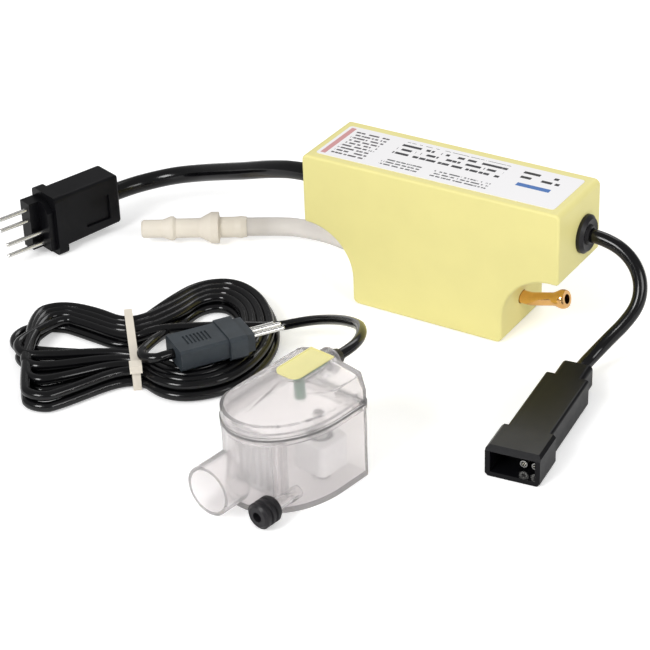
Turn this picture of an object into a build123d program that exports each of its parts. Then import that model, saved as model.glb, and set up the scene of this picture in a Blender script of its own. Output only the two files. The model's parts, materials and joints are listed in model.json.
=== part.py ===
from build123d import *
import os
from math import radians, tan

# A split condensate pump set: a pump block, and a float detection unit that stands apart
# from it on its own lead. Millimetres, +Z up. The origin is the centre of the pump block's
# foot, on the surface that everything stands on. +X runs along the block towards the
# outlet, and +Y towards the block's rear cover.

# ---------------------------------------------------------------- pump block
FOOT_LENGTH = 71.4
LEFT_OVERHANG = 23.3
RIGHT_OVERHANG = 25.3
BLOCK_DEPTH = 37.0
BLOCK_HEIGHT = 65.4
OVERHANG_HEIGHT = 31.8           # of the two ends that stand out past the foot
NOTCH_RADIUS = 22.0              # hollow curve between an overhang and the foot
CASING_WALL = 2.5
CASING_CORNER = 2.6
UNDERSIDE_CORNER = 1.2
CASING_EDGE = 1.1                # rounding round the front face
COVER_GAP = 0.15
SCREW_RADIUS = 1.5
SCREW_HEAD_RADIUS = 2.8
SCREW_LENGTH = 11.0
BOSS_RADIUS = 3.4
BOSS_INSET = 2.2                 # from the casing's inner wall to a boss's edge
LABEL_MARGIN_X = 4.5
LABEL_MARGIN_Y = 4.0
LABEL_THICKNESS = 0.2

# ---------------------------------------------------------------- grommets and leads
LEAD_DROP = 18.4                 # the leads' axes below the block's top
POWER_LEAD_Y = 0.0
SENSOR_LEAD_Y = 5.0
POWER_LEAD_RADIUS = 4.0
SENSOR_LEAD_RADIUS = 2.9
GROMMET_FLANGE_RADIUS = 8.2
GROMMET_FLANGE = 2.8
GROMMET_NECK_WALL = 1.6
GROMMET_INNER_FLANGE = 1.8
GROMMET_INNER_LIP = 1.5
LEAD_GAP = 0.1                   # round a lead in its grommet
WIRE_LENGTH = 3.5                # bare cores between a jacket's end and its terminals
WIRE_RADIUS = 0.7

# ---------------------------------------------------------------- pump
PUMP_AXIS_HEIGHT = 16.5
YOKE_LENGTH = 34.0
YOKE_WIDTH = 24.0
YOKE_PLATE = 2.0
CYLINDER_LENGTH = 38.0
CYLINDER_RADIUS = 4.5
CYLINDER_BORE = 3.7
BOBBIN_FLANGE = 1.2
BOBBIN_WALL = 1.0
BOBBIN_RADIUS = 9.6
FLUX_RING_RADIUS = 5.6
FLUX_RING_LENGTH = 10.0
WINDING_RADIUS = 9.2
PART_GAP = 0.1                   # between pieces of the pump that slide over each other
PISTON_LENGTH = 18.0
PISTON_GAP = 0.05
PISTON_BORE = 1.5
VALVE_POCKET_RADIUS = 2.7
VALVE_POCKET_DEPTH = 3.0
VALVE_DISC_RADIUS = 2.3
VALVE_DISC = 1.2
RETAINER = 0.6
SPIGOT_LENGTH = 5.0
HEAD_RADIUS = 7.2
INLET_HEAD = 4.0
BARB_RADIUS = 2.7
BARB_RIDGE = 3.2
BARB_LENGTH = 9.0
PORT_BORE = 1.6
OUTLET_HEAD = 6.0
OUTLET_CAP = 5.5
CHAMBER_RADIUS = 3.4
OUTLET_DISC_RADIUS = 3.1
OUTLET_DROP = 3.2                # outlet's axis below the pump's
SEAL_WIRE = 0.55
SEAL_FROM_END = 1.6
SPRING_WIRE = 0.35
SPRING_TURNS = 4
PAD_LENGTH = 8.0
PAD_WIDTH = 18.0

# ---------------------------------------------------------------- outlet tube
OUTLET_RADIUS = 2.8
OUTLET_BORE = 2.1
OUTLET_BEAD_RADIUS = 4.1
OUTLET_BEAD = 7.0                # length of the olive that swells out near the end
OUTLET_RISE = 15.0               # degrees
OUTLET_BEND_RADIUS = 10.0
OUTLET_STRAIGHT = 4.6            # from the foot's wall to the bend
OUTLET_TIP = 16.7                # from the bend to the end
TUBE_HOLE_GAP = 0.3
HOLE_REACH = 6.0                 # a hole's cut past the foot's wall, through the hollow curve

# ---------------------------------------------------------------- control board
BOARD_THICKNESS = 1.6
BOARD_LENGTH = 100.0
BOARD_WIDTH = 26.0
BOARD_DROP = 25.4                # the board's underside below the block's top
BOARD_END = 1.0                  # from the board's end to a terminal block
RAIL_WIDTH = 3.0
TERMINAL_LENGTH = 9.0
TERMINAL_WIDTH = 14.0
TERMINAL_HEIGHT = 9.5
TERMINAL_PITCH = 4.2
TERMINAL_HOLE = 1.4
CAPACITOR_PLACE = (-25.0, -9.0)
CAPACITOR_SIZE = (18.0, 8.0, 14.0)
RELAY_PLACE = (23.5, -5.5)
RELAY_SIZE = (19.0, 15.0, 15.0)
TRIAC_PLACE = (-3.0, -9.8)
TRIAC_WIDTH = 10.0
TRIAC_STAND = 4.0
TRIAC_BODY = 9.0
TRIAC_TAB = 15.0
TRIAC_THICKNESS = 4.4
TRIAC_TAB_THICKNESS = 1.2
TRIAC_HOLE = 1.8
TRIAC_PITCH = 2.6
LEG = 0.5                        # half the thickness of a component's leg
VARISTOR_PLACE = (-25.0, 4.0)
VARISTOR_RADIUS = 5.0
VARISTOR_THICKNESS = 4.0
VARISTOR_STAND = 1.5
VARISTOR_PITCH = 6.0

# ---------------------------------------------------------------- suction tube and connector
SUCTION_RADIUS = 4.25
CONNECTOR_BORE = 2.2
CONNECTOR_TIP_RADIUS = 4.1
CONNECTOR_RIDGE = 5.5
CONNECTOR_STEM_RADIUS = 4.4
CONNECTOR_COLLAR_RADIUS = 7.1
CONNECTOR_COLLAR = 3.8
CONNECTOR_SLOPE = 5.2            # from the collar down to the stem
CONNECTOR_LENGTH = 57.2
CONNECTOR_TIP = 9.6
CONNECTOR_RIDGE_SLOPE = 3.6
CONNECTOR_TUBE_BARB = 3.3
CONNECTOR_BARB = 9.6             # length of the barb inside the suction tube
CONNECTOR_SHOULDER_LENGTH = 12.2
CONNECTOR_SHOULDER_RADIUS = 5.0
SUCTION_END = (-98.2, 11.6, 7.3)
SUCTION_HEADING = 210.7          # degrees in plan, the way the connector points

# ---------------------------------------------------------------- power plug
POWER_PLUG_PLACE = (-180.4, -38.2, 0.0)
POWER_PLUG_HEADING = 252.0
POWER_PLUG_LENGTH = 31.0
POWER_PLUG_WIDTH = 15.4
POWER_PLUG_REAR = 24.0
POWER_PLUG_FRONT = 25.0
POWER_PLUG_RAISE = 2.6
POWER_ENTRY = 15.5               # height at which the lead enters the plug
POWER_COLLAR = 4.5
POWER_NOSE = 8.0
POWER_NOSE_STEP = 5.0            # the nose's near half is shorter by this
POWER_PINS = 23.0
POWER_MIDDLE = 14.0              # height of the plug's axis
POWER_RECESS = 12.0              # height of the finger recess in each flank
POWER_RECESS_DEPTH = 1.2
PIN_RADIUS = 0.95
PIN_PITCH = 5.4
PIN_STAGGER = 2.2

# ---------------------------------------------------------------- sensor socket
SOCKET_PLACE = (85.6, -104.6, 0.0)
SOCKET_HEADING = 276.2
SOCKET_THICKNESS = 13.0
SOCKET_COLLAR = 17.0
SOCKET_BODY = 42.0
SOCKET_NECK = 12.0
SOCKET_COLLAR_WIDTH = 22.0
SOCKET_BODY_WIDTH = 18.0
SOCKET_NECK_WIDTH = 12.8
SOCKET_CAVITY = 12.0
SOCKET_NECK_LOW = 1.0
SOCKET_NECK_HIGH = 11.6

# ---------------------------------------------------------------- detection unit
UNIT_PLACE = (10.0, -145.0, 0.0)
UNIT_TURN = -9.5
UNIT_RIGHT = 23.0                # the float's side bulges further than the nozzle's side
UNIT_LEFT = 17.0
UNIT_REAR = 23.5                 # rear wall, behind the unit's own origin
UNIT_TIP = -23.5                 # foremost point of the rounded nose
UNIT_RIGHT_START = 7.5           # where each straight side ends and the nose begins
UNIT_LEFT_START = -8.7
UNIT_WALL = 1.6
UNIT_FLOOR = 1.8
UNIT_CORNER = 2.0
BASE_HEIGHT = 31.5
LIP = 0.35
LIP_HEIGHT = 1.6
LID_SKIRT = 6.0
LID_SHOULDER = 44.0
LID_CREASE = 2.4                 # where the front's two facets meet
LID_TOP = 46.0
LID_WALL = 1.6
LID_SPIGOT = 3.0
LID_GAP = 0.25
STRIP_WIDTH = 11.4
STRIP_OFFSET = 2.1
STRIP_FRONT = 0.8
STRIP_ROUND = 3.6
STRIP_RIM = 0.5
STRIP_THICKNESS = 0.5
NOZZLE_OFFSET = -5.4
NOZZLE_HEIGHT = 11.0
NOZZLE_RADIUS = 10.0
NOZZLE_BORE = 8.6
NOZZLE_FRONT = -34.5
SPIGOT_OFFSET = 14.5
SPIGOT_HEIGHT = 5.6
SPIGOT_RADIUS = 2.6
SPIGOT_BORE = 1.7
SPIGOT_FRONT = -26.5
SPIGOT_INNER_END = -8.0
COUPLING_RADIUS = 5.3
COUPLING_FRONT = -30.0
COUPLING_REAR = -21.5
COUPLING_BORE = 2.0
FLOAT_SIDE = 15.0
FLOAT_HEIGHT = 13.0
FLOAT_OFFSET = 10.5
FLOAT_REAR = 9.5
FLOAT_REST = 7.0
POST_RADIUS = 2.0
POST_GAP = 0.1
STOP_RADIUS = 3.4
FILTER_V = -12.0
FILTER_LEFT = -14.0
FILTER_RIGHT = 9.0
FILTER_TOP = 27.0
FILTER_THICKNESS = 1.5
FILTER_SLOT = 1.6
FILTER_PITCH = 3.4
FILTER_MARGIN = 3.0
MAGNET_DEPTH = 2.5
MAGNET_RADIUS = 5.0
MAGNET_WALL = 0.9                # of the float, between the magnet and the post's hole
GUIDE = 4.0
BOSS_OFFSET = 1.0
BOSS_HEIGHT = 39.4
CABLE_BOSS_RADIUS = 5.6
CABLE_BOSS_END = 28.0
DETECTION_RADIUS = 2.1
BOOT_LENGTH = 4.4
SENSOR_BOARD_WIDTH = 9.0
SENSOR_BOARD_THICKNESS = 1.4
SENSOR_STEM_RADIUS = 2.2
STUB_START = 12.0
STUB_END = 33.0

# ---------------------------------------------------------------- hank
HANK_HEIGHT = 8.6
HANK_OUTLINE = [
    (-104.0, -84.0), (-128.0, -81.0), (-146.0, -90.0), (-146.0, -112.0), (-130.0, -130.0),
    (-112.0, -152.0), (-98.0, -153.0), (-80.0, -137.0), (-70.0, -121.0), (-48.0, -120.0),
    (-38.0, -104.0), (-37.0, -80.0), (-50.0, -58.0), (-72.0, -38.0), (-92.0, -33.0),
    (-103.0, -46.0), (-105.0, -64.0),
]
HANK_ROUND = 5.5
TIE_CENTRE = (-91.5, -101.5, 0.0)
TIE_HEADING = -50.0
TIE_SPAN = 47.0
TIE_UNDER = 0.9
TIE_HEAD = 5.0
TIE_WIDTH = 3.4
TIE_THICKNESS = 1.2

# ---------------------------------------------------------------- unit's plug
SENSOR_PLUG_PLACE = (-49.9, -84.2, HANK_HEIGHT)
SENSOR_PLUG_HEADING = 57.0
SENSOR_PLUG_BODY = 21.0
SENSOR_PLUG_BAND = 7.5
SENSOR_PLUG_WIDTH = 17.0
SENSOR_PLUG_THICKNESS = 10.4
SENSOR_PLUG_NOSE = 4.0
SENSOR_PLUG_PINS = 14.0

# ---------------------------------------------------------------- derived places
FOOT_LEFT = -FOOT_LENGTH / 2
FOOT_RIGHT = FOOT_LENGTH / 2
BLOCK_LEFT = FOOT_LEFT - LEFT_OVERHANG
BLOCK_RIGHT = FOOT_RIGHT + RIGHT_OVERHANG
BLOCK_FRONT = -BLOCK_DEPTH / 2
BLOCK_REAR = BLOCK_DEPTH / 2
INNER_FRONT = BLOCK_FRONT + CASING_WALL
UNDERSIDE_HEIGHT = BLOCK_HEIGHT - OVERHANG_HEIGHT
LEAD_HEIGHT = BLOCK_HEIGHT - LEAD_DROP
BOARD_HEIGHT = BLOCK_HEIGHT - BOARD_DROP
TERMINAL_FACE = BOARD_LENGTH / 2 - BOARD_END
COVER_FRONT = BLOCK_REAR - CASING_WALL
YOKE_END = YOKE_LENGTH / 2
CYLINDER_END = CYLINDER_LENGTH / 2
INLET_FACE = -CYLINDER_END - INLET_HEAD
CHAMBER_START = CYLINDER_END + 2.0
HEAD_JOINT = CYLINDER_END + OUTLET_HEAD
OUTLET_END = HEAD_JOINT + OUTLET_CAP
OUTLET_AXIS_HEIGHT = PUMP_AXIS_HEIGHT - OUTLET_DROP
OUTLET_SOCKET = 2.5

SOCKET_REAR = -SOCKET_COLLAR - SOCKET_BODY - SOCKET_NECK
SOCKET_AXIS = (SOCKET_NECK_LOW + SOCKET_NECK_HIGH) / 2
SENSOR_PLUG_REAR = -SENSOR_PLUG_BAND - SENSOR_PLUG_BODY
SENSOR_PLUG_AXIS = SENSOR_PLUG_THICKNESS / 2


def placed(frame_place, heading, point):
    """A point of a turned frame, in the part's frame."""
    spot = (Location(frame_place, (0, 0, heading)) * Location(point)).position
    return (spot.X, spot.Y, spot.Z)


SOCKET_ENTRY = placed(SOCKET_PLACE, SOCKET_HEADING, (SOCKET_REAR, 0, SOCKET_AXIS))
SOCKET_APPROACH = placed(SOCKET_PLACE, SOCKET_HEADING, (SOCKET_REAR - 7.0, 0, SOCKET_AXIS))
CONNECTOR_APPROACH = placed(SUCTION_END, SUCTION_HEADING, (-8.0, 0, 0))
CONNECTOR_SHOULDER = placed(SUCTION_END, SUCTION_HEADING, (CONNECTOR_BARB, 0, 0))

# ---------------------------------------------------------------- routes of the leads
POWER_ROUTE = [
    (-TERMINAL_FACE - WIRE_LENGTH, POWER_LEAD_Y, LEAD_HEIGHT),
    (-71.9, 0.0, LEAD_HEIGHT),
    (-90.5, 3.5, 41.5),
    (-108.0, 9.0, 34.0),
    (-123.8, 13.4, 28.0),
    (-139.4, 16.7, 22.2),
    (-151.3, 14.8, 19.0),
    (-160.8, 9.3, 16.6),
    placed(POWER_PLUG_PLACE, POWER_PLUG_HEADING, (-POWER_PLUG_LENGTH - 10.0, 0, POWER_ENTRY)),
    placed(POWER_PLUG_PLACE, POWER_PLUG_HEADING, (-POWER_PLUG_LENGTH, 0, POWER_ENTRY)),
]
SENSOR_ROUTE = [
    (TERMINAL_FACE + WIRE_LENGTH, SENSOR_LEAD_Y, LEAD_HEIGHT),
    (BLOCK_RIGHT + 1.5, SENSOR_LEAD_Y, LEAD_HEIGHT),
    (70.8, 4.9, 46.6),
    (78.6, 4.4, 44.2),
    (84.9, 3.0, 39.4),
    (88.8, 0.4, 32.8),
    (89.6, -3.8, 25.8),
    (86.8, -9.4, 19.6),
    (82.4, -14.6, 13.8),
    (79.0, -20.2, 8.9),
    SOCKET_APPROACH,
    SOCKET_ENTRY,
]
SUCTION_ROUTE = [
    (INLET_FACE, 0.0, PUMP_AXIS_HEIGHT),
    (FOOT_LEFT - 2.3, 0.0, PUMP_AXIS_HEIGHT),
    (-48.8, 2.4, 16.2),
    (-59.0, 6.6, 14.6),
    (-69.5, 11.4, 11.8),
    (-80.5, 15.2, 8.8),
    CONNECTOR_APPROACH,
    CONNECTOR_SHOULDER,
]
DETECTION_ROUTE = [
    placed(UNIT_PLACE, UNIT_TURN, (BOSS_OFFSET, STUB_END, BOSS_HEIGHT)),
    placed(UNIT_PLACE, UNIT_TURN, (BOSS_OFFSET, STUB_END + 6.5, BOSS_HEIGHT)),
    (16.6, -98.8, 38.8),
    (13.6, -91.8, 37.4),
    (9.4, -85.4, 35.0),
    (4.6, -79.4, 32.0),
    (-3.0, -73.4, 28.2),
    (-11.2, -67.8, 23.8),
    (-19.8, -62.8, 19.0),
    (-28.8, -58.8, 14.2),
    (-38.0, -57.4, 9.8),
    (-46.8, -59.8, 6.4),
    (-54.0, -65.0, 4.4),
]
PLUG_LEAD_ROUTE = [
    placed(SENSOR_PLUG_PLACE, SENSOR_PLUG_HEADING, (SENSOR_PLUG_REAR, 0, SENSOR_PLUG_AXIS)),
    placed(SENSOR_PLUG_PLACE, SENSOR_PLUG_HEADING, (SENSOR_PLUG_REAR - 4.4, 0, SENSOR_PLUG_AXIS)),
    (-69.0, -115.8, 12.4),
    (-72.4, -114.8, 9.4),
    (-73.8, -111.2, 6.4),
]


def along_x(x, y=0.0, z=0.0):
    """A plane at (x, y, z) whose normal points along +X."""
    return Plane(origin=(x, y, z), x_dir=(0, 1, 0), z_dir=(1, 0, 0))


def front_plane(y):
    """The XZ plane at y, with its normal towards the front."""
    return Plane(origin=(0, y, 0), x_dir=(1, 0, 0), z_dir=(0, -1, 0))


def rod_x(x0, x1, radius, y=0.0, z=0.0):
    """A round bar along X."""
    return extrude(along_x(x0, y, z) * Circle(radius), amount=x1 - x0)


def rod_y(y0, y1, radius, x=0.0, z=0.0):
    """A round bar along Y."""
    plane = Plane(origin=(x, y0, z), x_dir=(1, 0, 0), z_dir=(0, 1, 0))
    return extrude(plane * Circle(radius), amount=y1 - y0)


def rod_z(z0, z1, radius, x=0.0, y=0.0):
    """A round bar along Z."""
    return extrude(Plane(origin=(x, y, z0)) * Circle(radius), amount=z1 - z0)


def block(x0, x1, y0, y1, z0, z1):
    """A plain block between two corners."""
    centre = ((x0 + x1) / 2, (y0 + y1) / 2, (z0 + z1) / 2)
    return Pos(*centre) * Box(x1 - x0, y1 - y0, z1 - z0)


def turned_x(stations, y=0.0, z=0.0):
    """A turned piece about an axis along X, from its (x, radius) stations."""
    with BuildSketch(Plane.XZ) as half:
        with BuildLine():
            first = (stations[0][0], 0)
            last = (stations[-1][0], 0)
            Polyline(first, *stations, last, close=True)
        make_face()
    return Pos(0, y, z) * revolve(half.sketch, Axis.X)


def one(shape):
    """The single solid of a shape."""
    solids = shape.solids()
    return solids[0] if len(solids) == 1 else Compound(children=list(solids))


# ================================================================ pump block
def block_outline(inset):
    """The block's front outline: a wide head on a narrower foot, with hollow curves between."""
    corner = max(CASING_CORNER - inset, 0.4)
    low_corner = max(UNDERSIDE_CORNER - inset, 0.3)
    room = min(LEFT_OVERHANG, RIGHT_OVERHANG, UNDERSIDE_HEIGHT - corner) - low_corner - 0.05
    hollow_radius = min(NOTCH_RADIUS + inset, room)
    left, right = BLOCK_LEFT + inset, BLOCK_RIGHT - inset
    foot_left, foot_right = FOOT_LEFT + inset, FOOT_RIGHT - inset
    underside, top, bottom = UNDERSIDE_HEIGHT + inset, BLOCK_HEIGHT - inset, inset
    points = [
        (left, top), (left, underside), (foot_left, underside), (foot_left, bottom),
        (foot_right, bottom), (foot_right, underside), (right, underside), (right, top),
    ]
    outline = make_face(Polyline(*points, close=True))

    def corners_at(heights, sides):
        return [v for v in outline.vertices()
                if any(abs(v.Y - z) < 0.01 for z in heights)
                and any(abs(v.X - x) < 0.01 for x in sides)]

    outline = fillet(corners_at([underside], [foot_left, foot_right]), hollow_radius)
    outline = fillet(corners_at([underside], [left, right]), low_corner)
    return fillet(corners_at([top, bottom], [left, right, foot_left, foot_right]), corner)


def boss_places():
    """Where the four cover screws go, as (x, z)."""
    offset = CASING_WALL + BOSS_INSET + BOSS_RADIUS
    top = BLOCK_HEIGHT - offset
    low = CASING_WALL + BOSS_RADIUS - 0.4
    foot = CASING_WALL + BOSS_RADIUS - 0.4
    return [
        (BLOCK_LEFT + offset, top), (BLOCK_RIGHT - offset, top),
        (FOOT_LEFT + foot, low), (FOOT_RIGHT - foot, low),
    ]


def pump_casing():
    outer = extrude(front_plane(BLOCK_REAR) * block_outline(0), amount=BLOCK_DEPTH)
    front = outer.faces().sort_by(Axis.Y)[0]
    outer = fillet(front.edges(), CASING_EDGE)
    hollow = front_plane(BLOCK_REAR) * block_outline(CASING_WALL)
    shell = outer - extrude(hollow, amount=BLOCK_DEPTH - CASING_WALL)
    for x, z in boss_places():
        shell += rod_y(INNER_FRONT, COVER_FRONT, BOSS_RADIUS, x, z)
    for x, z in boss_places():
        shell -= rod_y(COVER_FRONT - SCREW_LENGTH, COVER_FRONT, SCREW_RADIUS, x, z)
    # ribs that locate the yoke, and rails under the control board
    yoke_top = PUMP_AXIS_HEIGHT + YOKE_WIDTH / 2
    for x in (-YOKE_END / 2, YOKE_END / 2):
        shell += block(x - 1, x + 1, INNER_FRONT, -YOKE_WIDTH / 2,
                       PUMP_AXIS_HEIGHT - YOKE_WIDTH / 2, yoke_top)
    for x in (-BOARD_LENGTH / 2 + 8, 0, BOARD_LENGTH / 2 - 8):
        shell += block(x - RAIL_WIDTH / 2, x + RAIL_WIDTH / 2, INNER_FRONT,
                       INNER_FRONT + 6, BOARD_HEIGHT - 3, BOARD_HEIGHT)
    # holes for the two grommets, the suction tube and the outlet tube
    shell -= rod_x(BLOCK_LEFT - 1, BLOCK_LEFT + CASING_WALL + 1,
                   POWER_LEAD_RADIUS + GROMMET_NECK_WALL + LEAD_GAP, POWER_LEAD_Y, LEAD_HEIGHT)
    shell -= rod_x(BLOCK_RIGHT - CASING_WALL - 1, BLOCK_RIGHT + 1,
                   SENSOR_LEAD_RADIUS + GROMMET_NECK_WALL + LEAD_GAP, SENSOR_LEAD_Y, LEAD_HEIGHT)
    shell -= rod_x(FOOT_LEFT - HOLE_REACH, FOOT_LEFT + CASING_WALL + 1,
                   SUCTION_RADIUS + TUBE_HOLE_GAP, 0, PUMP_AXIS_HEIGHT)
    shell -= rod_x(FOOT_RIGHT - CASING_WALL - 1, FOOT_RIGHT + HOLE_REACH,
                   OUTLET_RADIUS + TUBE_HOLE_GAP, 0, OUTLET_AXIS_HEIGHT)
    return shell


def rear_cover():
    plate = extrude(front_plane(BLOCK_REAR) * block_outline(CASING_WALL + COVER_GAP),
                    amount=CASING_WALL)
    for x, z in boss_places():
        plate -= rod_y(COVER_FRONT - 1, BLOCK_REAR + 1, SCREW_RADIUS + 0.2, x, z)
        sink = Plane(origin=(x, BLOCK_REAR - SCREW_HEAD_RADIUS + SCREW_RADIUS, z),
                     x_dir=(1, 0, 0), z_dir=(0, 1, 0))
        cone = Solid.make_cone(SCREW_RADIUS + 0.2, SCREW_HEAD_RADIUS + 0.2,
                               SCREW_HEAD_RADIUS - SCREW_RADIUS, sink)
        plate -= cone
    for x in (-YOKE_END / 2, YOKE_END / 2):
        plate += block(x - 1, x + 1, YOKE_WIDTH / 2, COVER_FRONT,
                       PUMP_AXIS_HEIGHT - YOKE_WIDTH / 2, PUMP_AXIS_HEIGHT + YOKE_WIDTH / 2)
    return plate


def cover_screws():
    screws = []
    for x, z in boss_places():
        screw = rod_y(COVER_FRONT - SCREW_LENGTH + 1, BLOCK_REAR - 0.3, SCREW_RADIUS - 0.05, x, z)
        sink = Plane(origin=(x, BLOCK_REAR - SCREW_HEAD_RADIUS + SCREW_RADIUS - 0.05, z),
                     x_dir=(1, 0, 0), z_dir=(0, 1, 0))
        screw += Solid.make_cone(SCREW_RADIUS, SCREW_HEAD_RADIUS - 0.05,
                                 SCREW_HEAD_RADIUS - SCREW_RADIUS, sink)
        screw -= block(x - 0.4, x + 0.4, BLOCK_REAR - 0.8, BLOCK_REAR + 1, z - 2, z + 2)
        screw -= block(x - 2, x + 2, BLOCK_REAR - 0.8, BLOCK_REAR + 1, z - 0.4, z + 0.4)
        screws.append(one(screw))
    return Compound(children=screws)


def top_label():
    sheet = Rectangle(FOOT_LENGTH + LEFT_OVERHANG + RIGHT_OVERHANG - 2 * LABEL_MARGIN_X,
                      BLOCK_DEPTH - 2 * LABEL_MARGIN_Y)
    sheet = fillet(sheet.vertices(), 1.5)
    place = Pos((BLOCK_LEFT + BLOCK_RIGHT) / 2, 0, BLOCK_HEIGHT)
    return place * extrude(sheet, amount=LABEL_THICKNESS)


def grommet(wall_x, outward, lead_radius, y):
    """A rubber grommet in an end wall whose outer face is at wall_x."""
    neck = lead_radius + GROMMET_NECK_WALL
    outer = GROMMET_FLANGE_RADIUS
    stations = [
        (-CASING_WALL - GROMMET_INNER_FLANGE, neck),
        (-CASING_WALL - 0.5, neck + GROMMET_INNER_LIP),
        (-CASING_WALL, neck + GROMMET_INNER_LIP),
        (-CASING_WALL, neck),
        (0, neck),
        (0, outer),
        (GROMMET_FLANGE * 0.5, outer),
        (GROMMET_FLANGE, outer - 1.4),
        (GROMMET_FLANGE * 0.8, lead_radius + 1.4),
        (GROMMET_FLANGE + 0.6, lead_radius + 0.9),
    ]
    turned = [(wall_x + outward * x, radius) for x, radius in stations]
    piece = turned_x(turned, y, LEAD_HEIGHT)
    return piece - rod_x(wall_x - 8, wall_x + 8, lead_radius + LEAD_GAP, y, LEAD_HEIGHT)


def lead_wires(outward, lead_radius, y, count):
    """The cores between the end of a lead's jacket and its terminal block."""
    start = outward * (TERMINAL_FACE + WIRE_LENGTH)
    end = outward * TERMINAL_FACE
    spread = (lead_radius - WIRE_RADIUS) * 1.2
    cores = []
    for n in range(count):
        offset = spread * (n / (count - 1) - 0.5)
        low, high = sorted((start, end))
        cores.append(one(rod_x(low, high, WIRE_RADIUS, y + offset, LEAD_HEIGHT)))
    return Compound(children=cores)


# ================================================================ pump
def coil_bobbin():
    end = YOKE_END - YOKE_PLATE
    tube = FLUX_RING_RADIUS + PART_GAP
    piece = rod_x(-end, end, tube + BOBBIN_WALL, z=PUMP_AXIS_HEIGHT)
    piece += rod_x(-end, -end + BOBBIN_FLANGE, BOBBIN_RADIUS, z=PUMP_AXIS_HEIGHT)
    piece += rod_x(end - BOBBIN_FLANGE, end, BOBBIN_RADIUS, z=PUMP_AXIS_HEIGHT)
    return piece - rod_x(-end - 1, end + 1, tube, z=PUMP_AXIS_HEIGHT)


def coil_winding():
    end = YOKE_END - YOKE_PLATE - BOBBIN_FLANGE
    inner = FLUX_RING_RADIUS + PART_GAP + BOBBIN_WALL
    piece = rod_x(-end, end, WINDING_RADIUS, z=PUMP_AXIS_HEIGHT)
    return piece - rod_x(-end - 1, end + 1, inner, z=PUMP_AXIS_HEIGHT)


def yoke():
    """A bent steel frame: two end plates joined along the front of the coil."""
    half = YOKE_WIDTH / 2
    low, high = PUMP_AXIS_HEIGHT - half, PUMP_AXIS_HEIGHT + half
    frame = block(-YOKE_END, YOKE_END, -half, half, low, high)
    frame -= block(-YOKE_END + YOKE_PLATE, YOKE_END - YOKE_PLATE,
                   -half + YOKE_PLATE, half + 1, low - 1, high + 1)
    frame -= rod_x(-YOKE_END - 1, YOKE_END + 1, CYLINDER_RADIUS + PART_GAP, z=PUMP_AXIS_HEIGHT)
    bends = [e for e in frame.edges().filter_by(Axis.Z) if e.center().Y < -half + 0.01]
    return fillet(bends, YOKE_PLATE * 0.9)


def flux_rings():
    end = YOKE_END - YOKE_PLATE
    rings = []
    for start in (-end, end - FLUX_RING_LENGTH):
        ring = rod_x(start, start + FLUX_RING_LENGTH, FLUX_RING_RADIUS, z=PUMP_AXIS_HEIGHT)
        ring -= rod_x(start - 1, start + FLUX_RING_LENGTH + 1, CYLINDER_RADIUS + PART_GAP,
                      z=PUMP_AXIS_HEIGHT)
        rings.append(one(ring))
    return Compound(children=rings)


def pump_cylinder():
    tube = rod_x(-CYLINDER_END, CYLINDER_END, CYLINDER_RADIUS, z=PUMP_AXIS_HEIGHT)
    return tube - rod_x(-CYLINDER_END - 1, CYLINDER_END + 1, CYLINDER_BORE, z=PUMP_AXIS_HEIGHT)


def piston():
    end = PISTON_LENGTH / 2
    body = rod_x(-end, end, CYLINDER_BORE - PISTON_GAP, z=PUMP_AXIS_HEIGHT)
    body = chamfer(body.edges().filter_by(GeomType.CIRCLE), 0.3)
    body -= rod_x(-end - 1, end + 1, PISTON_BORE, z=PUMP_AXIS_HEIGHT)
    pocket = end - VALVE_POCKET_DEPTH
    return body - rod_x(pocket, end + 1, VALVE_POCKET_RADIUS, z=PUMP_AXIS_HEIGHT)


def piston_valve():
    start = PISTON_LENGTH / 2 - VALVE_POCKET_DEPTH
    return rod_x(start, start + VALVE_DISC, VALVE_DISC_RADIUS, z=PUMP_AXIS_HEIGHT)


def valve_retainer():
    end = PISTON_LENGTH / 2
    ring = rod_x(end - RETAINER, end, VALVE_POCKET_RADIUS, z=PUMP_AXIS_HEIGHT)
    return ring - rod_x(end - RETAINER - 1, end + 1, PISTON_BORE, z=PUMP_AXIS_HEIGHT)


def coil_spring(x0, x1, radius, turns=SPRING_TURNS):
    """A compression spring along X that fills the span from x0 to x1."""
    height = x1 - x0 - 2 * SPRING_WIRE
    path = Helix(pitch=height / turns, height=height, radius=radius - SPRING_WIRE)
    wire = Plane(origin=path @ 0, z_dir=path % 0) * Rectangle(2 * SPRING_WIRE, 2 * SPRING_WIRE)
    spring = sweep(wire, path=path, is_frenet=True)
    return Pos(x0 + SPRING_WIRE, 0, PUMP_AXIS_HEIGHT) * Rot(0, 90, 0) * spring


def return_spring():
    return coil_spring(PISTON_LENGTH / 2, CYLINDER_END - SPIGOT_LENGTH, CYLINDER_BORE - 0.5)


def buffer_spring():
    return coil_spring(SPIGOT_LENGTH - CYLINDER_END, -PISTON_LENGTH / 2, CYLINDER_BORE - 0.5)


def seal_place(side):
    """Where a spigot's O-ring sits; side is -1 at the inlet and 1 at the outlet."""
    return side * (CYLINDER_END - SPIGOT_LENGTH + SEAL_FROM_END)


def spigot_with_groove(stations, side):
    """Cut the O-ring's groove into a spigot."""
    centre = seal_place(side)
    ring = rod_x(centre - SEAL_WIRE, centre + SEAL_WIRE, CYLINDER_BORE + 1, z=PUMP_AXIS_HEIGHT)
    ring -= rod_x(centre - 2, centre + 2, CYLINDER_BORE - 2 * SEAL_WIRE, z=PUMP_AXIS_HEIGHT)
    return stations - ring


def head_seals():
    seals = []
    for side in (-1, 1):
        plane = along_x(seal_place(side), 0, PUMP_AXIS_HEIGHT)
        seals.append(plane.location * Torus(CYLINDER_BORE - SEAL_WIRE - 0.03, SEAL_WIRE - 0.04))
    return Compound(children=[one(seal) for seal in seals])


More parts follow.
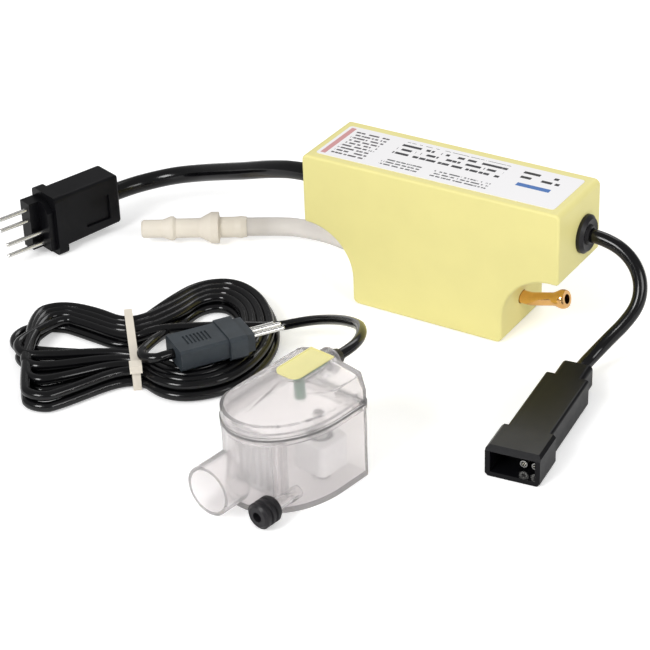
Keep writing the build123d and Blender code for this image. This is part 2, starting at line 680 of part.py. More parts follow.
def inlet_fitting():
    spigot_radius = CYLINDER_BORE - PART_GAP
    tip = INLET_FACE - BARB_LENGTH
    stations = [
        (tip, BARB_RADIUS - 0.5), (tip + 2.5, BARB_RIDGE), (tip + 2.8, BARB_RADIUS),
        (INLET_FACE, BARB_RADIUS), (INLET_FACE, HEAD_RADIUS), (-CYLINDER_END, HEAD_RADIUS),
        (-CYLINDER_END, spigot_radius), (-CYLINDER_END + SPIGOT_LENGTH, spigot_radius),
    ]
    piece = turned_x(stations, z=PUMP_AXIS_HEIGHT)
    piece -= rod_x(tip - 1, -CYLINDER_END + SPIGOT_LENGTH + 1, PORT_BORE, z=PUMP_AXIS_HEIGHT)
    return spigot_with_groove(piece, -1)


def outlet_head():
    spigot_radius = CYLINDER_BORE - PART_GAP
    piece = rod_x(CYLINDER_END, HEAD_JOINT, HEAD_RADIUS, z=PUMP_AXIS_HEIGHT)
    piece += rod_x(CYLINDER_END - SPIGOT_LENGTH, CYLINDER_END, spigot_radius, z=PUMP_AXIS_HEIGHT)
    piece -= rod_x(CYLINDER_END - SPIGOT_LENGTH - 1, HEAD_JOINT + 1, PORT_BORE,
                   z=PUMP_AXIS_HEIGHT)
    piece -= rod_x(CHAMBER_START, HEAD_JOINT + 1, CHAMBER_RADIUS, z=PUMP_AXIS_HEIGHT)
    return spigot_with_groove(piece, 1)


def outlet_valve():
    disc = rod_x(CHAMBER_START, CHAMBER_START + VALVE_DISC, OUTLET_DISC_RADIUS,
                 z=PUMP_AXIS_HEIGHT)
    start = CHAMBER_START + VALVE_DISC
    return disc + rod_x(start, start + 1.2, 1.2, z=PUMP_AXIS_HEIGHT)


def outlet_cap():
    """Closes the valve chamber, backs the valve's spring and holds the outlet tube."""
    piece = rod_x(HEAD_JOINT, OUTLET_END, HEAD_RADIUS, z=PUMP_AXIS_HEIGHT)
    socket = OUTLET_END - OUTLET_SOCKET
    piece -= rod_x(HEAD_JOINT - 1, socket + 1, OUTLET_BORE, z=OUTLET_AXIS_HEIGHT)
    return piece - rod_x(socket, OUTLET_END + 1, OUTLET_RADIUS + 0.03, z=OUTLET_AXIS_HEIGHT)


def valve_spring():
    return coil_spring(CHAMBER_START + VALVE_DISC, HEAD_JOINT, OUTLET_DISC_RADIUS - 0.3, 2)


def outlet_path():
    start = (OUTLET_END - OUTLET_SOCKET, 0, OUTLET_AXIS_HEIGHT)
    bend = (FOOT_RIGHT + OUTLET_STRAIGHT, 0, OUTLET_AXIS_HEIGHT)
    tip = Vector(1, 0, 0).rotate(Axis.Y, -OUTLET_RISE) * OUTLET_TIP + Vector(*bend)
    return FilletPolyline(start, bend, tip, radius=OUTLET_BEND_RADIUS)


def outlet_tube():
    """A bent metal tube that swells into an olive near its open end."""
    path = outlet_path()
    section = Plane(origin=path @ 0, z_dir=path % 0) * (Circle(OUTLET_RADIUS) - Circle(OUTLET_BORE))
    tube = sweep(section, path=path)
    swell = OUTLET_BEAD_RADIUS - OUTLET_RADIUS
    with BuildSketch(Plane.XZ) as half:
        with BuildLine():
            Spline((-OUTLET_BEAD, OUTLET_RADIUS), (-OUTLET_BEAD * 0.62, OUTLET_RADIUS + swell * 0.45),
                   (-OUTLET_BEAD * 0.3, OUTLET_BEAD_RADIUS), (0, OUTLET_RADIUS + swell * 0.6),
                   tangents=((1, 0), (1, -0.7)))
            Polyline((0, OUTLET_RADIUS + swell * 0.6), (0, OUTLET_BORE),
                     (-OUTLET_BEAD, OUTLET_BORE), (-OUTLET_BEAD, OUTLET_RADIUS))
        make_face()
    olive = revolve(half.sketch, Axis.X)
    tip = path @ 1
    return tube + Location((tip.X, tip.Y, tip.Z), (0, -OUTLET_RISE, 0)) * olive


def rubber_pads():
    low, high = CASING_WALL, PUMP_AXIS_HEIGHT - YOKE_WIDTH / 2
    pads = []
    for x in (-YOKE_END + PAD_LENGTH / 2, YOKE_END - PAD_LENGTH / 2):
        pads.append(one(block(x - PAD_LENGTH / 2, x + PAD_LENGTH / 2,
                              -PAD_WIDTH / 2, PAD_WIDTH / 2, low, high)))
    return Compound(children=pads)


# ================================================================ control board
def board_top():
    return BOARD_HEIGHT + BOARD_THICKNESS


def control_board():
    y0 = INNER_FRONT + 0.6
    return block(-BOARD_LENGTH / 2, BOARD_LENGTH / 2, y0, y0 + BOARD_WIDTH,
                 BOARD_HEIGHT, board_top())


def terminal_blocks():
    blocks = []
    for outward, y in ((-1, POWER_LEAD_Y), (1, SENSOR_LEAD_Y)):
        face = outward * TERMINAL_FACE
        x0, x1 = sorted((face, face - outward * TERMINAL_LENGTH))
        body = block(x0, x1, y - TERMINAL_WIDTH / 2, y + TERMINAL_WIDTH / 2,
                     board_top(), board_top() + TERMINAL_HEIGHT)
        for step in (-1, 0, 1):
            body -= rod_z(board_top() + TERMINAL_HEIGHT - 1.5, board_top() + TERMINAL_HEIGHT + 1,
                          TERMINAL_HOLE, (x0 + x1) / 2, y + step * TERMINAL_PITCH)
        blocks.append(one(body))
    return Compound(children=blocks)


def on_board(place, size, lift=0.0):
    """A block that stands on the board, from its place in plan and its three sizes."""
    x, y = place
    half_x, half_y = size[0] / 2, size[1] / 2
    low = board_top() + lift
    return block(x - half_x, x + half_x, y - half_y, y + half_y, low, low + size[2])


def suppression_capacitor():
    body = on_board(CAPACITOR_PLACE, CAPACITOR_SIZE)
    return fillet(body.edges().filter_by(Axis.Z), 1)


def alarm_relay():
    body = on_board(RELAY_PLACE, RELAY_SIZE)
    return chamfer(body.edges().group_by(Axis.Z)[-1], 0.8)


def coil_triac():
    """A moulded body on three legs, with a metal tab behind it that has a hole."""
    x, y = TRIAC_PLACE
    tab_y = y - (TRIAC_THICKNESS - TRIAC_TAB_THICKNESS) / 2
    piece = on_board(TRIAC_PLACE, (TRIAC_WIDTH, TRIAC_THICKNESS, TRIAC_BODY), TRIAC_STAND)
    piece += on_board((x, tab_y), (TRIAC_WIDTH, TRIAC_TAB_THICKNESS, TRIAC_TAB), TRIAC_STAND)
    for step in (-1, 0, 1):
        piece += on_board((x + step * TRIAC_PITCH, y), (2 * LEG, 2 * LEG, TRIAC_STAND))
    hole_height = board_top() + TRIAC_STAND + (TRIAC_BODY + TRIAC_TAB) / 2
    return piece - rod_y(tab_y - 2, tab_y + 2, TRIAC_HOLE, x, hole_height)


def surge_varistor():
    x, y = VARISTOR_PLACE
    centre = board_top() + VARISTOR_STAND + VARISTOR_RADIUS
    half = VARISTOR_THICKNESS / 2
    disc = rod_y(y - half, y + half, VARISTOR_RADIUS, x, centre)
    for step in (-1, 1):
        leg_place = (x + step * VARISTOR_PITCH / 2, y)
        disc += on_board(leg_place, (2 * LEG, 2 * LEG, VARISTOR_STAND + VARISTOR_RADIUS / 2))
    return disc


# ================================================================ connectors
def route_radii(points):
    """The largest arcs that a route's runs leave room for."""
    corners = [Vector(*point) for point in points]
    radii = []
    for before, corner, after in zip(corners, corners[1:], corners[2:]):
        run_in, run_out = corner - before, after - corner
        half_turn = radians(run_in.get_angle(run_out)) / 2
        radii.append(0.45 * min(run_in.length, run_out.length) / tan(half_turn))
    return radii


def lead(name, points, radius):
    """A free lead: straight runs joined by tangent arcs."""
    radii = route_radii(points)
    path = FilletPolyline(*points, radius=radii)
    tube = sweep(Plane(origin=path @ 0, z_dir=path % 0) * Circle(radius), path=path)
    section = Circle(radius).area
    print(name, "length", round(path.length, 1), "radii", [round(r, 1) for r in radii],
          "volume ratio", round(tube.volume / (section * path.length), 4))
    return tube


def tube_connector():
    """A straight barbed coupler: a stepped tip, a collar, and a barb inside the tube."""
    collar_start = CONNECTOR_BARB + CONNECTOR_SHOULDER_LENGTH
    collar_end = collar_start + CONNECTOR_COLLAR
    ridge_end = CONNECTOR_LENGTH - CONNECTOR_TIP - CONNECTOR_RIDGE_SLOPE
    shoulder = CONNECTOR_SHOULDER_RADIUS
    stations = [
        (0.0, CONNECTOR_TUBE_BARB - 0.6), (3.0, CONNECTOR_TUBE_BARB),
        (CONNECTOR_BARB, CONNECTOR_TUBE_BARB), (CONNECTOR_BARB, shoulder - 0.4),
        (CONNECTOR_BARB + 2.6, shoulder), (CONNECTOR_BARB + 5.4, shoulder - 0.3),
        (collar_start, shoulder - 0.3), (collar_start + 0.5, CONNECTOR_COLLAR_RADIUS),
        (collar_end, CONNECTOR_COLLAR_RADIUS),
        (collar_end + CONNECTOR_SLOPE, CONNECTOR_STEM_RADIUS),
        (ridge_end - 2.6, CONNECTOR_STEM_RADIUS), (ridge_end - 1.2, CONNECTOR_RIDGE),
        (ridge_end, CONNECTOR_RIDGE), (CONNECTOR_LENGTH - CONNECTOR_TIP, CONNECTOR_TIP_RADIUS),
        (CONNECTOR_LENGTH - 0.8, CONNECTOR_TIP_RADIUS),
        (CONNECTOR_LENGTH, CONNECTOR_TIP_RADIUS - 0.6),
    ]
    piece = turned_x(stations) - rod_x(-1, CONNECTOR_LENGTH + 1, CONNECTOR_BORE)
    return Location(SUCTION_END, (0, 0, SUCTION_HEADING)) * piece


def pin_places():
    """The four staggered contacts of a connector, as (across, up) from its centre."""
    return [(-PIN_STAGGER, 1.5 * PIN_PITCH), (-PIN_STAGGER, 0.5 * PIN_PITCH),
            (PIN_STAGGER, -0.5 * PIN_PITCH), (PIN_STAGGER, -1.5 * PIN_PITCH)]


def power_plug_frame():
    """The frame of the power plug: +X towards the pins, +Z up, its foot at the collar."""
    return Location(POWER_PLUG_PLACE, (0, 0, POWER_PLUG_HEADING))


def power_plug():
    """Stands on its narrow side: a tapered body, a collar, and a keyed nose for the pins."""
    half = POWER_PLUG_WIDTH / 2
    low = POWER_PLUG_RAISE
    with BuildSketch(Plane.XZ) as side:
        with BuildLine():
            Polyline((-POWER_PLUG_LENGTH, low + 1.4), (0, low),
                     (0, low + POWER_PLUG_FRONT),
                     (-POWER_PLUG_LENGTH, low + 1.4 + POWER_PLUG_REAR), close=True)
        make_face()
    body = extrude(side.sketch, amount=half, both=True)
    body = fillet(body.edges().filter_by(lambda e: e.length > 12), 1.6)
    collar = block(-0.5, POWER_COLLAR, -half - 1.6, half + 1.6, 0, 28.6)
    collar = fillet(collar.edges().filter_by(Axis.X), 2.2)
    nose = block(POWER_COLLAR - 0.5, POWER_COLLAR + POWER_NOSE, -half + 0.6, half - 0.6,
                 POWER_MIDDLE - 11.4, POWER_MIDDLE + 11.4)
    key = nose.edges().filter_by(Axis.X).sort_by(lambda e: e.center().Z + 0.3 * e.center().Y)[-1]
    nose = chamfer(key, 4)
    nose -= block(POWER_COLLAR + POWER_NOSE - POWER_NOSE_STEP, POWER_COLLAR + POWER_NOSE + 1,
                  0, half, 0, 2 * POWER_MIDDLE)
    piece = body + collar + nose
    for side in (-1, 1):
        y0, y1 = sorted((side * (half - POWER_RECESS_DEPTH), side * (half + 1)))
        piece -= block(-POWER_PLUG_LENGTH + 6, -12, y0, y1,
                       POWER_MIDDLE - POWER_RECESS / 2, POWER_MIDDLE + POWER_RECESS / 2)
    for across, up in pin_places():
        piece -= rod_x(POWER_COLLAR, POWER_COLLAR + POWER_NOSE + 1, PIN_RADIUS, across,
                       POWER_MIDDLE + up)
    return power_plug_frame() * piece


def contact_pins(start, length, places, radius=PIN_RADIUS):
    """Round pins with bullet tips, side by side along X."""
    pins = []
    for across, up in places:
        pin = rod_x(start, start + length, radius, across, up)
        tip = pin.edges().filter_by(GeomType.CIRCLE).sort_by(Axis.X)[-1]
        pins.append(one(chamfer(tip, radius * 0.5)))
    return pins


def power_plug_pins():
    places = [(across, POWER_MIDDLE + up) for across, up in pin_places()]
    pins = contact_pins(POWER_COLLAR, POWER_PINS, places)
    return Compound(children=[power_plug_frame() * pin for pin in pins])


def socket_frame():
    """The frame of the socket: +X out of its open end, +Z up."""
    return Location(SOCKET_PLACE, (0, 0, SOCKET_HEADING))


def socket_width_places():
    """The contacts lie in the socket's flat mouth, staggered as the pins are."""
    return [(up * 0.86, SOCKET_THICKNESS / 2 + across * 0.9) for across, up in pin_places()]


def sensor_socket():
    """Lies on its wide side: a neck, a body and a shrouded mouth."""
    t = SOCKET_THICKNESS
    mouth = block(-SOCKET_COLLAR, 0, -SOCKET_COLLAR_WIDTH / 2, SOCKET_COLLAR_WIDTH / 2, 0, t)
    mouth = chamfer(mouth.edges().filter_by(Axis.X), 1.2)
    mouth = chamfer(mouth.edges().filter_by(Axis.Y).group_by(Axis.X)[-1].sort_by(Axis.Z)[-1:], 2.0)
    rear = -SOCKET_COLLAR - SOCKET_BODY
    body = block(rear, -SOCKET_COLLAR + 0.5, -SOCKET_BODY_WIDTH / 2, SOCKET_BODY_WIDTH / 2,
                 0.6, t - 0.6)
    body = fillet(body.edges().filter_by(Axis.X), 1.2)
    neck = block(rear - SOCKET_NECK, rear + 0.5, -SOCKET_NECK_WIDTH / 2, SOCKET_NECK_WIDTH / 2,
                 SOCKET_NECK_LOW, SOCKET_NECK_HIGH)
    neck = fillet(neck.edges().filter_by(Axis.X), 2.0)
    cavity = block(-SOCKET_CAVITY, 1, -SOCKET_COLLAR_WIDTH / 2 + 2, SOCKET_COLLAR_WIDTH / 2 - 2,
                   2, t - 2)
    piece = mouth + body + neck - cavity
    return socket_frame() * piece


def socket_contacts():
    contacts = []
    for across, up in socket_width_places():
        sleeve = rod_x(-SOCKET_CAVITY, -SOCKET_CAVITY + 6, 1.5, across, up)
        sleeve -= rod_x(-SOCKET_CAVITY + 1, 1, 1.0, across, up)
        contacts.append(socket_frame() * one(sleeve))
    return Compound(children=contacts)


# ================================================================ detection unit
UNIT = Location(UNIT_PLACE, (0, 0, UNIT_TURN))


def unit_outline(inset):
    """The unit's plan: straight sides, a square rear and a rounded nose of two quarter ellipses."""
    left, right = UNIT_LEFT - inset, UNIT_RIGHT - inset
    tip, back = UNIT_TIP + inset, UNIT_REAR - inset
    with BuildSketch() as outline:
        with BuildLine():
            EllipticalCenterArc((0, UNIT_LEFT_START), left, UNIT_LEFT_START - tip, 180, arc_size=90)
            EllipticalCenterArc((0, UNIT_RIGHT_START), right, UNIT_RIGHT_START - tip, 270,
                                arc_size=90)
            Polyline((right, UNIT_RIGHT_START), (right, back), (-left, back),
                     (-left, UNIT_LEFT_START))
        make_face()
        rear_corners = [v for v in outline.vertices() if abs(v.Y - back) < 0.01]
        fillet(rear_corners, max(UNIT_CORNER - inset, 0.3))
    return outline.sketch


def faceted_outline(left, right, tip, left_start, right_start, back, bulge):
    """A plan like the unit's, but with two flatter facets that meet at a crease in front."""
    with BuildSketch() as outline:
        with BuildLine():
            mid_left = ((LID_CREASE - left) / 2 - bulge / 2, (tip + left_start) / 2 - bulge / 2)
            mid_right = ((LID_CREASE + right) / 2 + bulge, (tip + right_start) / 2 - bulge)
            ThreePointArc((-left, left_start), mid_left, (LID_CREASE, tip))
            ThreePointArc((LID_CREASE, tip), mid_right, (right, right_start))
            Polyline((right, right_start), (right, back), (-left, back), (-left, left_start))
        make_face()
        rear_corners = [v for v in outline.vertices() if abs(v.Y - back) < 0.01]
        fillet(rear_corners, 1.6)
    return outline.sketch


def unit_layer(inset, z0, z1):
    return extrude(Pos(0, 0, z0) * unit_outline(inset), amount=z1 - z0)


def chamber_base():
    shell = unit_layer(0, 0, BASE_HEIGHT)
    shell += unit_layer(-LIP, BASE_HEIGHT - LIP_HEIGHT, BASE_HEIGHT)
    inside = unit_layer(UNIT_WALL, UNIT_FLOOR, BASE_HEIGHT + 1)
    nozzle = rod_y(NOZZLE_FRONT, -8, NOZZLE_RADIUS, NOZZLE_OFFSET, NOZZLE_HEIGHT)
    spigot = rod_y(SPIGOT_FRONT, SPIGOT_INNER_END, SPIGOT_RADIUS, SPIGOT_OFFSET, SPIGOT_HEIGHT)
    shell = shell + nozzle - inside
    shell -= rod_y(NOZZLE_FRONT - 1, -8, NOZZLE_BORE, NOZZLE_OFFSET, NOZZLE_HEIGHT)
    shell += spigot
    shell -= rod_y(SPIGOT_FRONT - 1, SPIGOT_INNER_END + 1, SPIGOT_BORE, SPIGOT_OFFSET,
                   SPIGOT_HEIGHT)
    # the float's post with its lower stop, and the two slotted guides of the filter
    shell += rod_z(UNIT_FLOOR - 0.2, BASE_HEIGHT - 1.5, POST_RADIUS, FLOAT_OFFSET, FLOAT_REAR)
    shell += rod_z(UNIT_FLOOR - 0.2, FLOAT_REST, STOP_RADIUS, FLOAT_OFFSET, FLOAT_REAR)
    slot = FILTER_THICKNESS / 2 + 0.1
    for end, away in ((FILTER_LEFT, -1), (FILTER_RIGHT, 1)):
        u0, u1 = sorted((end - away * 1.2, end + away * (GUIDE - 1)))
        guide = block(u0, u1, FILTER_V - GUIDE / 2, FILTER_V + GUIDE / 2,
                      UNIT_FLOOR - 0.2, FILTER_TOP)
        s0, s1 = sorted((end - away * 2, end + away * 0.15))
        guide -= block(s0, s1, FILTER_V - slot, FILTER_V + slot, UNIT_FLOOR, FILTER_TOP + 1)
        shell += guide & unit_layer(0.5, 0, BASE_HEIGHT)
    return UNIT * shell


def lid_dome(inset):
    """The lid's dome: a blend from the skirt's outline up to the flat that the strip lies on."""
    skirt_top = BASE_HEIGHT + LID_SKIRT
    back = UNIT_REAR - inset
    sections = [
        Pos(0, 0, skirt_top) * unit_outline(inset),
        Pos(0, 0, LID_SHOULDER - inset) * faceted_outline(
            9.5 - inset, 21.0 - inset, -8.5 + inset, -2.0, 8.5, back - 0.3, 1.2),
        Pos(0, 0, LID_TOP - inset) * faceted_outline(
            5.0 - inset, 9.6 - inset, -0.8 + inset, 3.0, 4.0, back - 1.0, 1.0),
    ]
    return loft(sections, ruled=True)


def chamber_lid():
    skirt_top = BASE_HEIGHT + LID_SKIRT
    shell = unit_layer(0, BASE_HEIGHT, skirt_top) + lid_dome(0)
    shell += unit_layer(-LIP, BASE_HEIGHT, BASE_HEIGHT + LIP_HEIGHT)
    shell += rod_y(UNIT_REAR - 8, CABLE_BOSS_END, CABLE_BOSS_RADIUS, BOSS_OFFSET, BOSS_HEIGHT)
    shell -= unit_layer(LID_WALL, BASE_HEIGHT - 1, skirt_top) + lid_dome(LID_WALL)
    rim = unit_layer(UNIT_WALL + LID_GAP, BASE_HEIGHT - LID_SPIGOT, BASE_HEIGHT + 2)
    rim += unit_layer(LID_WALL - 0.1, BASE_HEIGHT, BASE_HEIGHT + 2)
    rim -= unit_layer(UNIT_WALL + LID_GAP + 1.2, BASE_HEIGHT - LID_SPIGOT - 1, BASE_HEIGHT + 3)
    shell += rim
    shell -= rod_y(UNIT_REAR - 10, CABLE_BOSS_END + 1, DETECTION_RADIUS + LEAD_GAP, BOSS_OFFSET,
                   BOSS_HEIGHT)
    return UNIT * shell


def lid_strip():
    """A plate along the lid's flat top, with a low rim round its edge."""
    length = UNIT_REAR - 1.2 - STRIP_FRONT
    plan = Pos(STRIP_OFFSET, STRIP_FRONT + length / 2) * Rectangle(STRIP_WIDTH, length)
    front_corners = plan.vertices().sort_by(Axis.Y)[:2]
    plan = fillet(front_corners, STRIP_ROUND)
    strip = extrude(plan, amount=STRIP_THICKNESS)
    inner = Pos(0, 0, STRIP_THICKNESS / 2) * offset(plan, amount=-STRIP_RIM)
    strip -= extrude(inner, amount=STRIP_THICKNESS)
    return UNIT * Pos(0, 0, LID_TOP) * strip


def sensor_board():
    ceiling = LID_TOP - LID_WALL
    half = SENSOR_BOARD_WIDTH / 2
    low = ceiling - SENSOR_BOARD_THICKNESS
    board = block(STRIP_OFFSET - half, STRIP_OFFSET + half, 6, 20, low, ceiling)
    board += rod_z(BASE_HEIGHT + 2, low, SENSOR_STEM_RADIUS, STRIP_OFFSET, 9)
    return UNIT * board


def lid_boot():
    end = CABLE_BOSS_END
    stations = [(end, 4.2), (end + 1.4, 4.0), (end + BOOT_LENGTH, DETECTION_RADIUS + 0.8)]
    boot = turned_x(stations)
    boot -= rod_x(end - 1, end + BOOT_LENGTH + 1, DETECTION_RADIUS + LEAD_GAP)
    turn = Location((BOSS_OFFSET, 0, BOSS_HEIGHT), (0, 0, 90))
    return UNIT * turn * boot


def lid_lead():
    return UNIT * rod_y(STUB_START, STUB_END, DETECTION_RADIUS, BOSS_OFFSET, BOSS_HEIGHT)


def float_block():
    half = FLOAT_SIDE / 2
    body = block(FLOAT_OFFSET - half, FLOAT_OFFSET + half, FLOAT_REAR - half, FLOAT_REAR + half,
                 FLOAT_REST, FLOAT_REST + FLOAT_HEIGHT)
    body = fillet(body.edges().filter_by(Axis.Z), 2.5)
    body = fillet(body.faces().sort_by(Axis.Z)[-1].edges(), 1.0)
    body -= rod_z(FLOAT_REST - 1, FLOAT_REST + FLOAT_HEIGHT + 1, POST_RADIUS + POST_GAP,
                  FLOAT_OFFSET, FLOAT_REAR)
    return UNIT * (body - magnet_ring(0.0))


def magnet_ring(shrink):
    """A ring magnet let into the float's top, round the post."""
    top = FLOAT_REST + FLOAT_HEIGHT
    ring = rod_z(top - MAGNET_DEPTH, top, MAGNET_RADIUS - shrink, FLOAT_OFFSET, FLOAT_REAR)
    return ring - rod_z(top - MAGNET_DEPTH - 1, top + 1, POST_RADIUS + MAGNET_WALL + shrink,
                        FLOAT_OFFSET, FLOAT_REAR)


def float_magnet():
    return UNIT * magnet_ring(0.05)


def inlet_filter():
    """A slotted plate that slides down into its two guides."""
    half = FILTER_THICKNESS / 2
    plate = block(FILTER_LEFT, FILTER_RIGHT, FILTER_V - half, FILTER_V + half,
                  UNIT_FLOOR, FILTER_TOP)
    slots = int((FILTER_RIGHT - FILTER_LEFT - 2 * FILTER_MARGIN) / FILTER_PITCH)
    first = (FILTER_LEFT + FILTER_RIGHT) / 2 - (slots - 1) / 2 * FILTER_PITCH
    for n in range(slots):
        u = first + n * FILTER_PITCH
        plate -= block(u - FILTER_SLOT / 2, u + FILTER_SLOT / 2, FILTER_V - 2, FILTER_V + 2,
                       UNIT_FLOOR + 2, FILTER_TOP - FILTER_MARGIN)
    return UNIT * plate


def outlet_coupling():
    """A ribbed rubber sleeve on the chamber's suction spigot."""
    length = COUPLING_REAR - COUPLING_FRONT
    rib = length / 6
    stations = [(0, COUPLING_RADIUS - 1.3), (0.8, COUPLING_RADIUS - 0.5)]
    for n in range(3):
        start = 0.8 + (2 * n) * rib * 0.92
        stations += [(start + 0.2, COUPLING_RADIUS), (start + rib, COUPLING_RADIUS),
                     (start + rib + 0.3, COUPLING_RADIUS - 0.7),
                     (start + 2 * rib * 0.92 - 0.2, COUPLING_RADIUS - 0.7)]
    stations[-1] = (length, COUPLING_RADIUS - 0.7)
    sleeve = turned_x(stations)
    overlap = SPIGOT_FRONT - COUPLING_FRONT
    sleeve -= rod_x(-1, length + 1, COUPLING_BORE)
    sleeve -= rod_x(overlap, length + 1, SPIGOT_RADIUS + 0.03)
    turn = Location((SPIGOT_OFFSET, COUPLING_FRONT, SPIGOT_HEIGHT), (0, 0, 90))
    return UNIT * turn * sleeve


# ================================================================ hank of the unit's lead
def tie_frame():
    """The frame of the tie: +X along the strap, across the turns."""
    return Location(TIE_CENTRE, (0, 0, TIE_HEADING))


def cable_tie():
    """A strap round the waist of the hank, with its head at one end."""
    half, low, high = TIE_SPAN / 2, TIE_UNDER, HANK_HEIGHT
    strap = block(-half - TIE_THICKNESS, half + TIE_THICKNESS, -TIE_WIDTH / 2, TIE_WIDTH / 2,
                  0, high + TIE_THICKNESS)
    strap -= block(-half, half, -TIE_WIDTH, TIE_WIDTH, low, high)
    strap += block(half - TIE_HEAD / 2, half + TIE_HEAD / 2, -TIE_WIDTH / 2 - 0.8,
                   TIE_WIDTH / 2 + 0.8, high, high + 3.4)
    return tie_frame() * strap


def cable_hank():
    """The outer shape of the tied turns: two lobes that narrow to the tie."""
    outline = make_face(Polyline(*HANK_OUTLINE, close=True))
    outline = fillet(outline.vertices(), HANK_ROUND)
    slab = extrude(outline, amount=HANK_HEIGHT)
    slab = fillet(slab.edges().group_by(Axis.Z)[-1], 2.0)
    half = TIE_SPAN / 2
    around = block(-half - 20, half + 20, -TIE_WIDTH / 2, TIE_WIDTH / 2, 0, HANK_HEIGHT + 1)
    around -= block(-half, half, -TIE_WIDTH, TIE_WIDTH, TIE_UNDER, HANK_HEIGHT)
    return slab - tie_frame() * around


def sensor_plug_frame():
    """The frame of the unit's plug: +X towards the pins, lying on the hank."""
    return Location(SENSOR_PLUG_PLACE, (0, 0, SENSOR_PLUG_HEADING))


def sensor_plug_pin_places():
    middle = SENSOR_PLUG_THICKNESS / 2
    return [(up * 0.65, middle + across * 0.8) for across, up in pin_places()]


def sensor_plug():
    """Lies on its wide side: a grip body, a raised band and a keyed nose."""
    t = SENSOR_PLUG_THICKNESS
    half = SENSOR_PLUG_WIDTH / 2
    body = block(-SENSOR_PLUG_BAND - SENSOR_PLUG_BODY, -SENSOR_PLUG_BAND + 0.5,
                 -half, half, 0.6, t - 0.6)
    body = chamfer(body.edges().filter_by(Axis.X), 1.0)
    band = block(-SENSOR_PLUG_BAND, 0, -half - 1.4, half + 1.4, 0, t)
    band = chamfer(band.edges().filter_by(Axis.X), 1.4)
    nose = block(-0.5, SENSOR_PLUG_NOSE, -half + 1.0, half - 1.0, 1.2, t - 1.2)
    piece = body + band + nose
    grip_start = -SENSOR_PLUG_BAND - SENSOR_PLUG_BODY + 5
    for n in range(7):
        x = grip_start + n * 1.6
        piece -= block(x, x + 0.8, -half + 5, half - 5, t - 1.1, t)
    for across, up in sensor_plug_pin_places():
        piece -= rod_x(0, SENSOR_PLUG_NOSE + 1, 0.9, across, up)
    return sensor_plug_frame() * piece


def sensor_plug_pins():
    pins = contact_pins(0, SENSOR_PLUG_NOSE + SENSOR_PLUG_PINS, sensor_plug_pin_places(), 0.9)
    return Compound(children=[sensor_plug_frame() * pin for pin in pins])


def main():
    os.makedirs("parts", exist_ok=True)
    nodes = {
        "pump_casing": pump_casing(),
        "rear_cover": rear_cover(),
        "cover_screws": cover_screws(),
        "top_label": top_label(),
        "power_grommet": grommet(BLOCK_LEFT, -1, POWER_LEAD_RADIUS, POWER_LEAD_Y),
        "sensor_grommet": grommet(BLOCK_RIGHT, 1, SENSOR_LEAD_RADIUS, SENSOR_LEAD_Y),
        "power_wires": lead_wires(-1, POWER_LEAD_RADIUS, POWER_LEAD_Y, 3),
        "sensor_wires": lead_wires(1, SENSOR_LEAD_RADIUS, SENSOR_LEAD_Y, 3),
        "coil_bobbin": coil_bobbin(),
        "coil_winding": coil_winding(),
        "yoke": yoke(),
        "flux_rings": flux_rings(),
        "pump_cylinder": pump_cylinder(),
        "piston": piston(),
        "piston_valve": piston_valve(),
        "valve_retainer": valve_retainer(),
        "return_spring": return_spring(),
        "buffer_spring": buffer_spring(),
        "head_seals": head_seals(),
        "inlet_fitting": inlet_fitting(),
        "outlet_head": outlet_head(),
        "outlet_valve": outlet_valve(),
        "valve_spring": valve_spring(),
        "outlet_cap": outlet_cap(),
        "outlet_tube": outlet_tube(),
        "rubber_pads": rubber_pads(),
        "control_board": control_board(),
        "terminal_blocks": terminal_blocks(),
        "suppression_capacitor": suppression_capacitor(),
        "alarm_relay": alarm_relay(),
        "coil_triac": coil_triac(),
        "surge_varistor": surge_varistor(),
        "suction_tube": lead("suction_tube", SUCTION_ROUTE, SUCTION_RADIUS),
        "tube_connector": tube_connector(),
        "power_lead": lead("power_lead", POWER_ROUTE, POWER_LEAD_RADIUS),
        "power_plug": power_plug(),
        "power_plug_pins": power_plug_pins(),
        "sensor_lead": lead("sensor_lead", SENSOR_ROUTE, SENSOR_LEAD_RADIUS),
        "sensor_socket": sensor_socket(),
        "socket_contacts": socket_contacts(),
        "chamber_base": chamber_base(),
        "chamber_lid": chamber_lid(),
        "lid_strip": lid_strip(),
        "sensor_board": sensor_board(),
        "lid_boot": lid_boot(),
        "lid_lead": lid_lead(),
        "float_block": float_block(),
        "float_magnet": float_magnet(),
        "inlet_filter": inlet_filter(),
        "outlet_coupling": outlet_coupling(),
        "detection_lead": lead("detection_lead", DETECTION_ROUTE, DETECTION_RADIUS),
        "cable_hank": cable_hank(),
        "cable_tie": cable_tie(),
        "plug_lead": lead("plug_lead", PLUG_LEAD_ROUTE, DETECTION_RADIUS),
        "sensor_plug": sensor_plug(),
        "sensor_plug_pins": sensor_plug_pins(),
    }
    for name, shape in nodes.items():
        export_step(one(shape), f"parts/{name}.step")


main()
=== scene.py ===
import json
import math

import bpy
from mathutils import Matrix, Vector


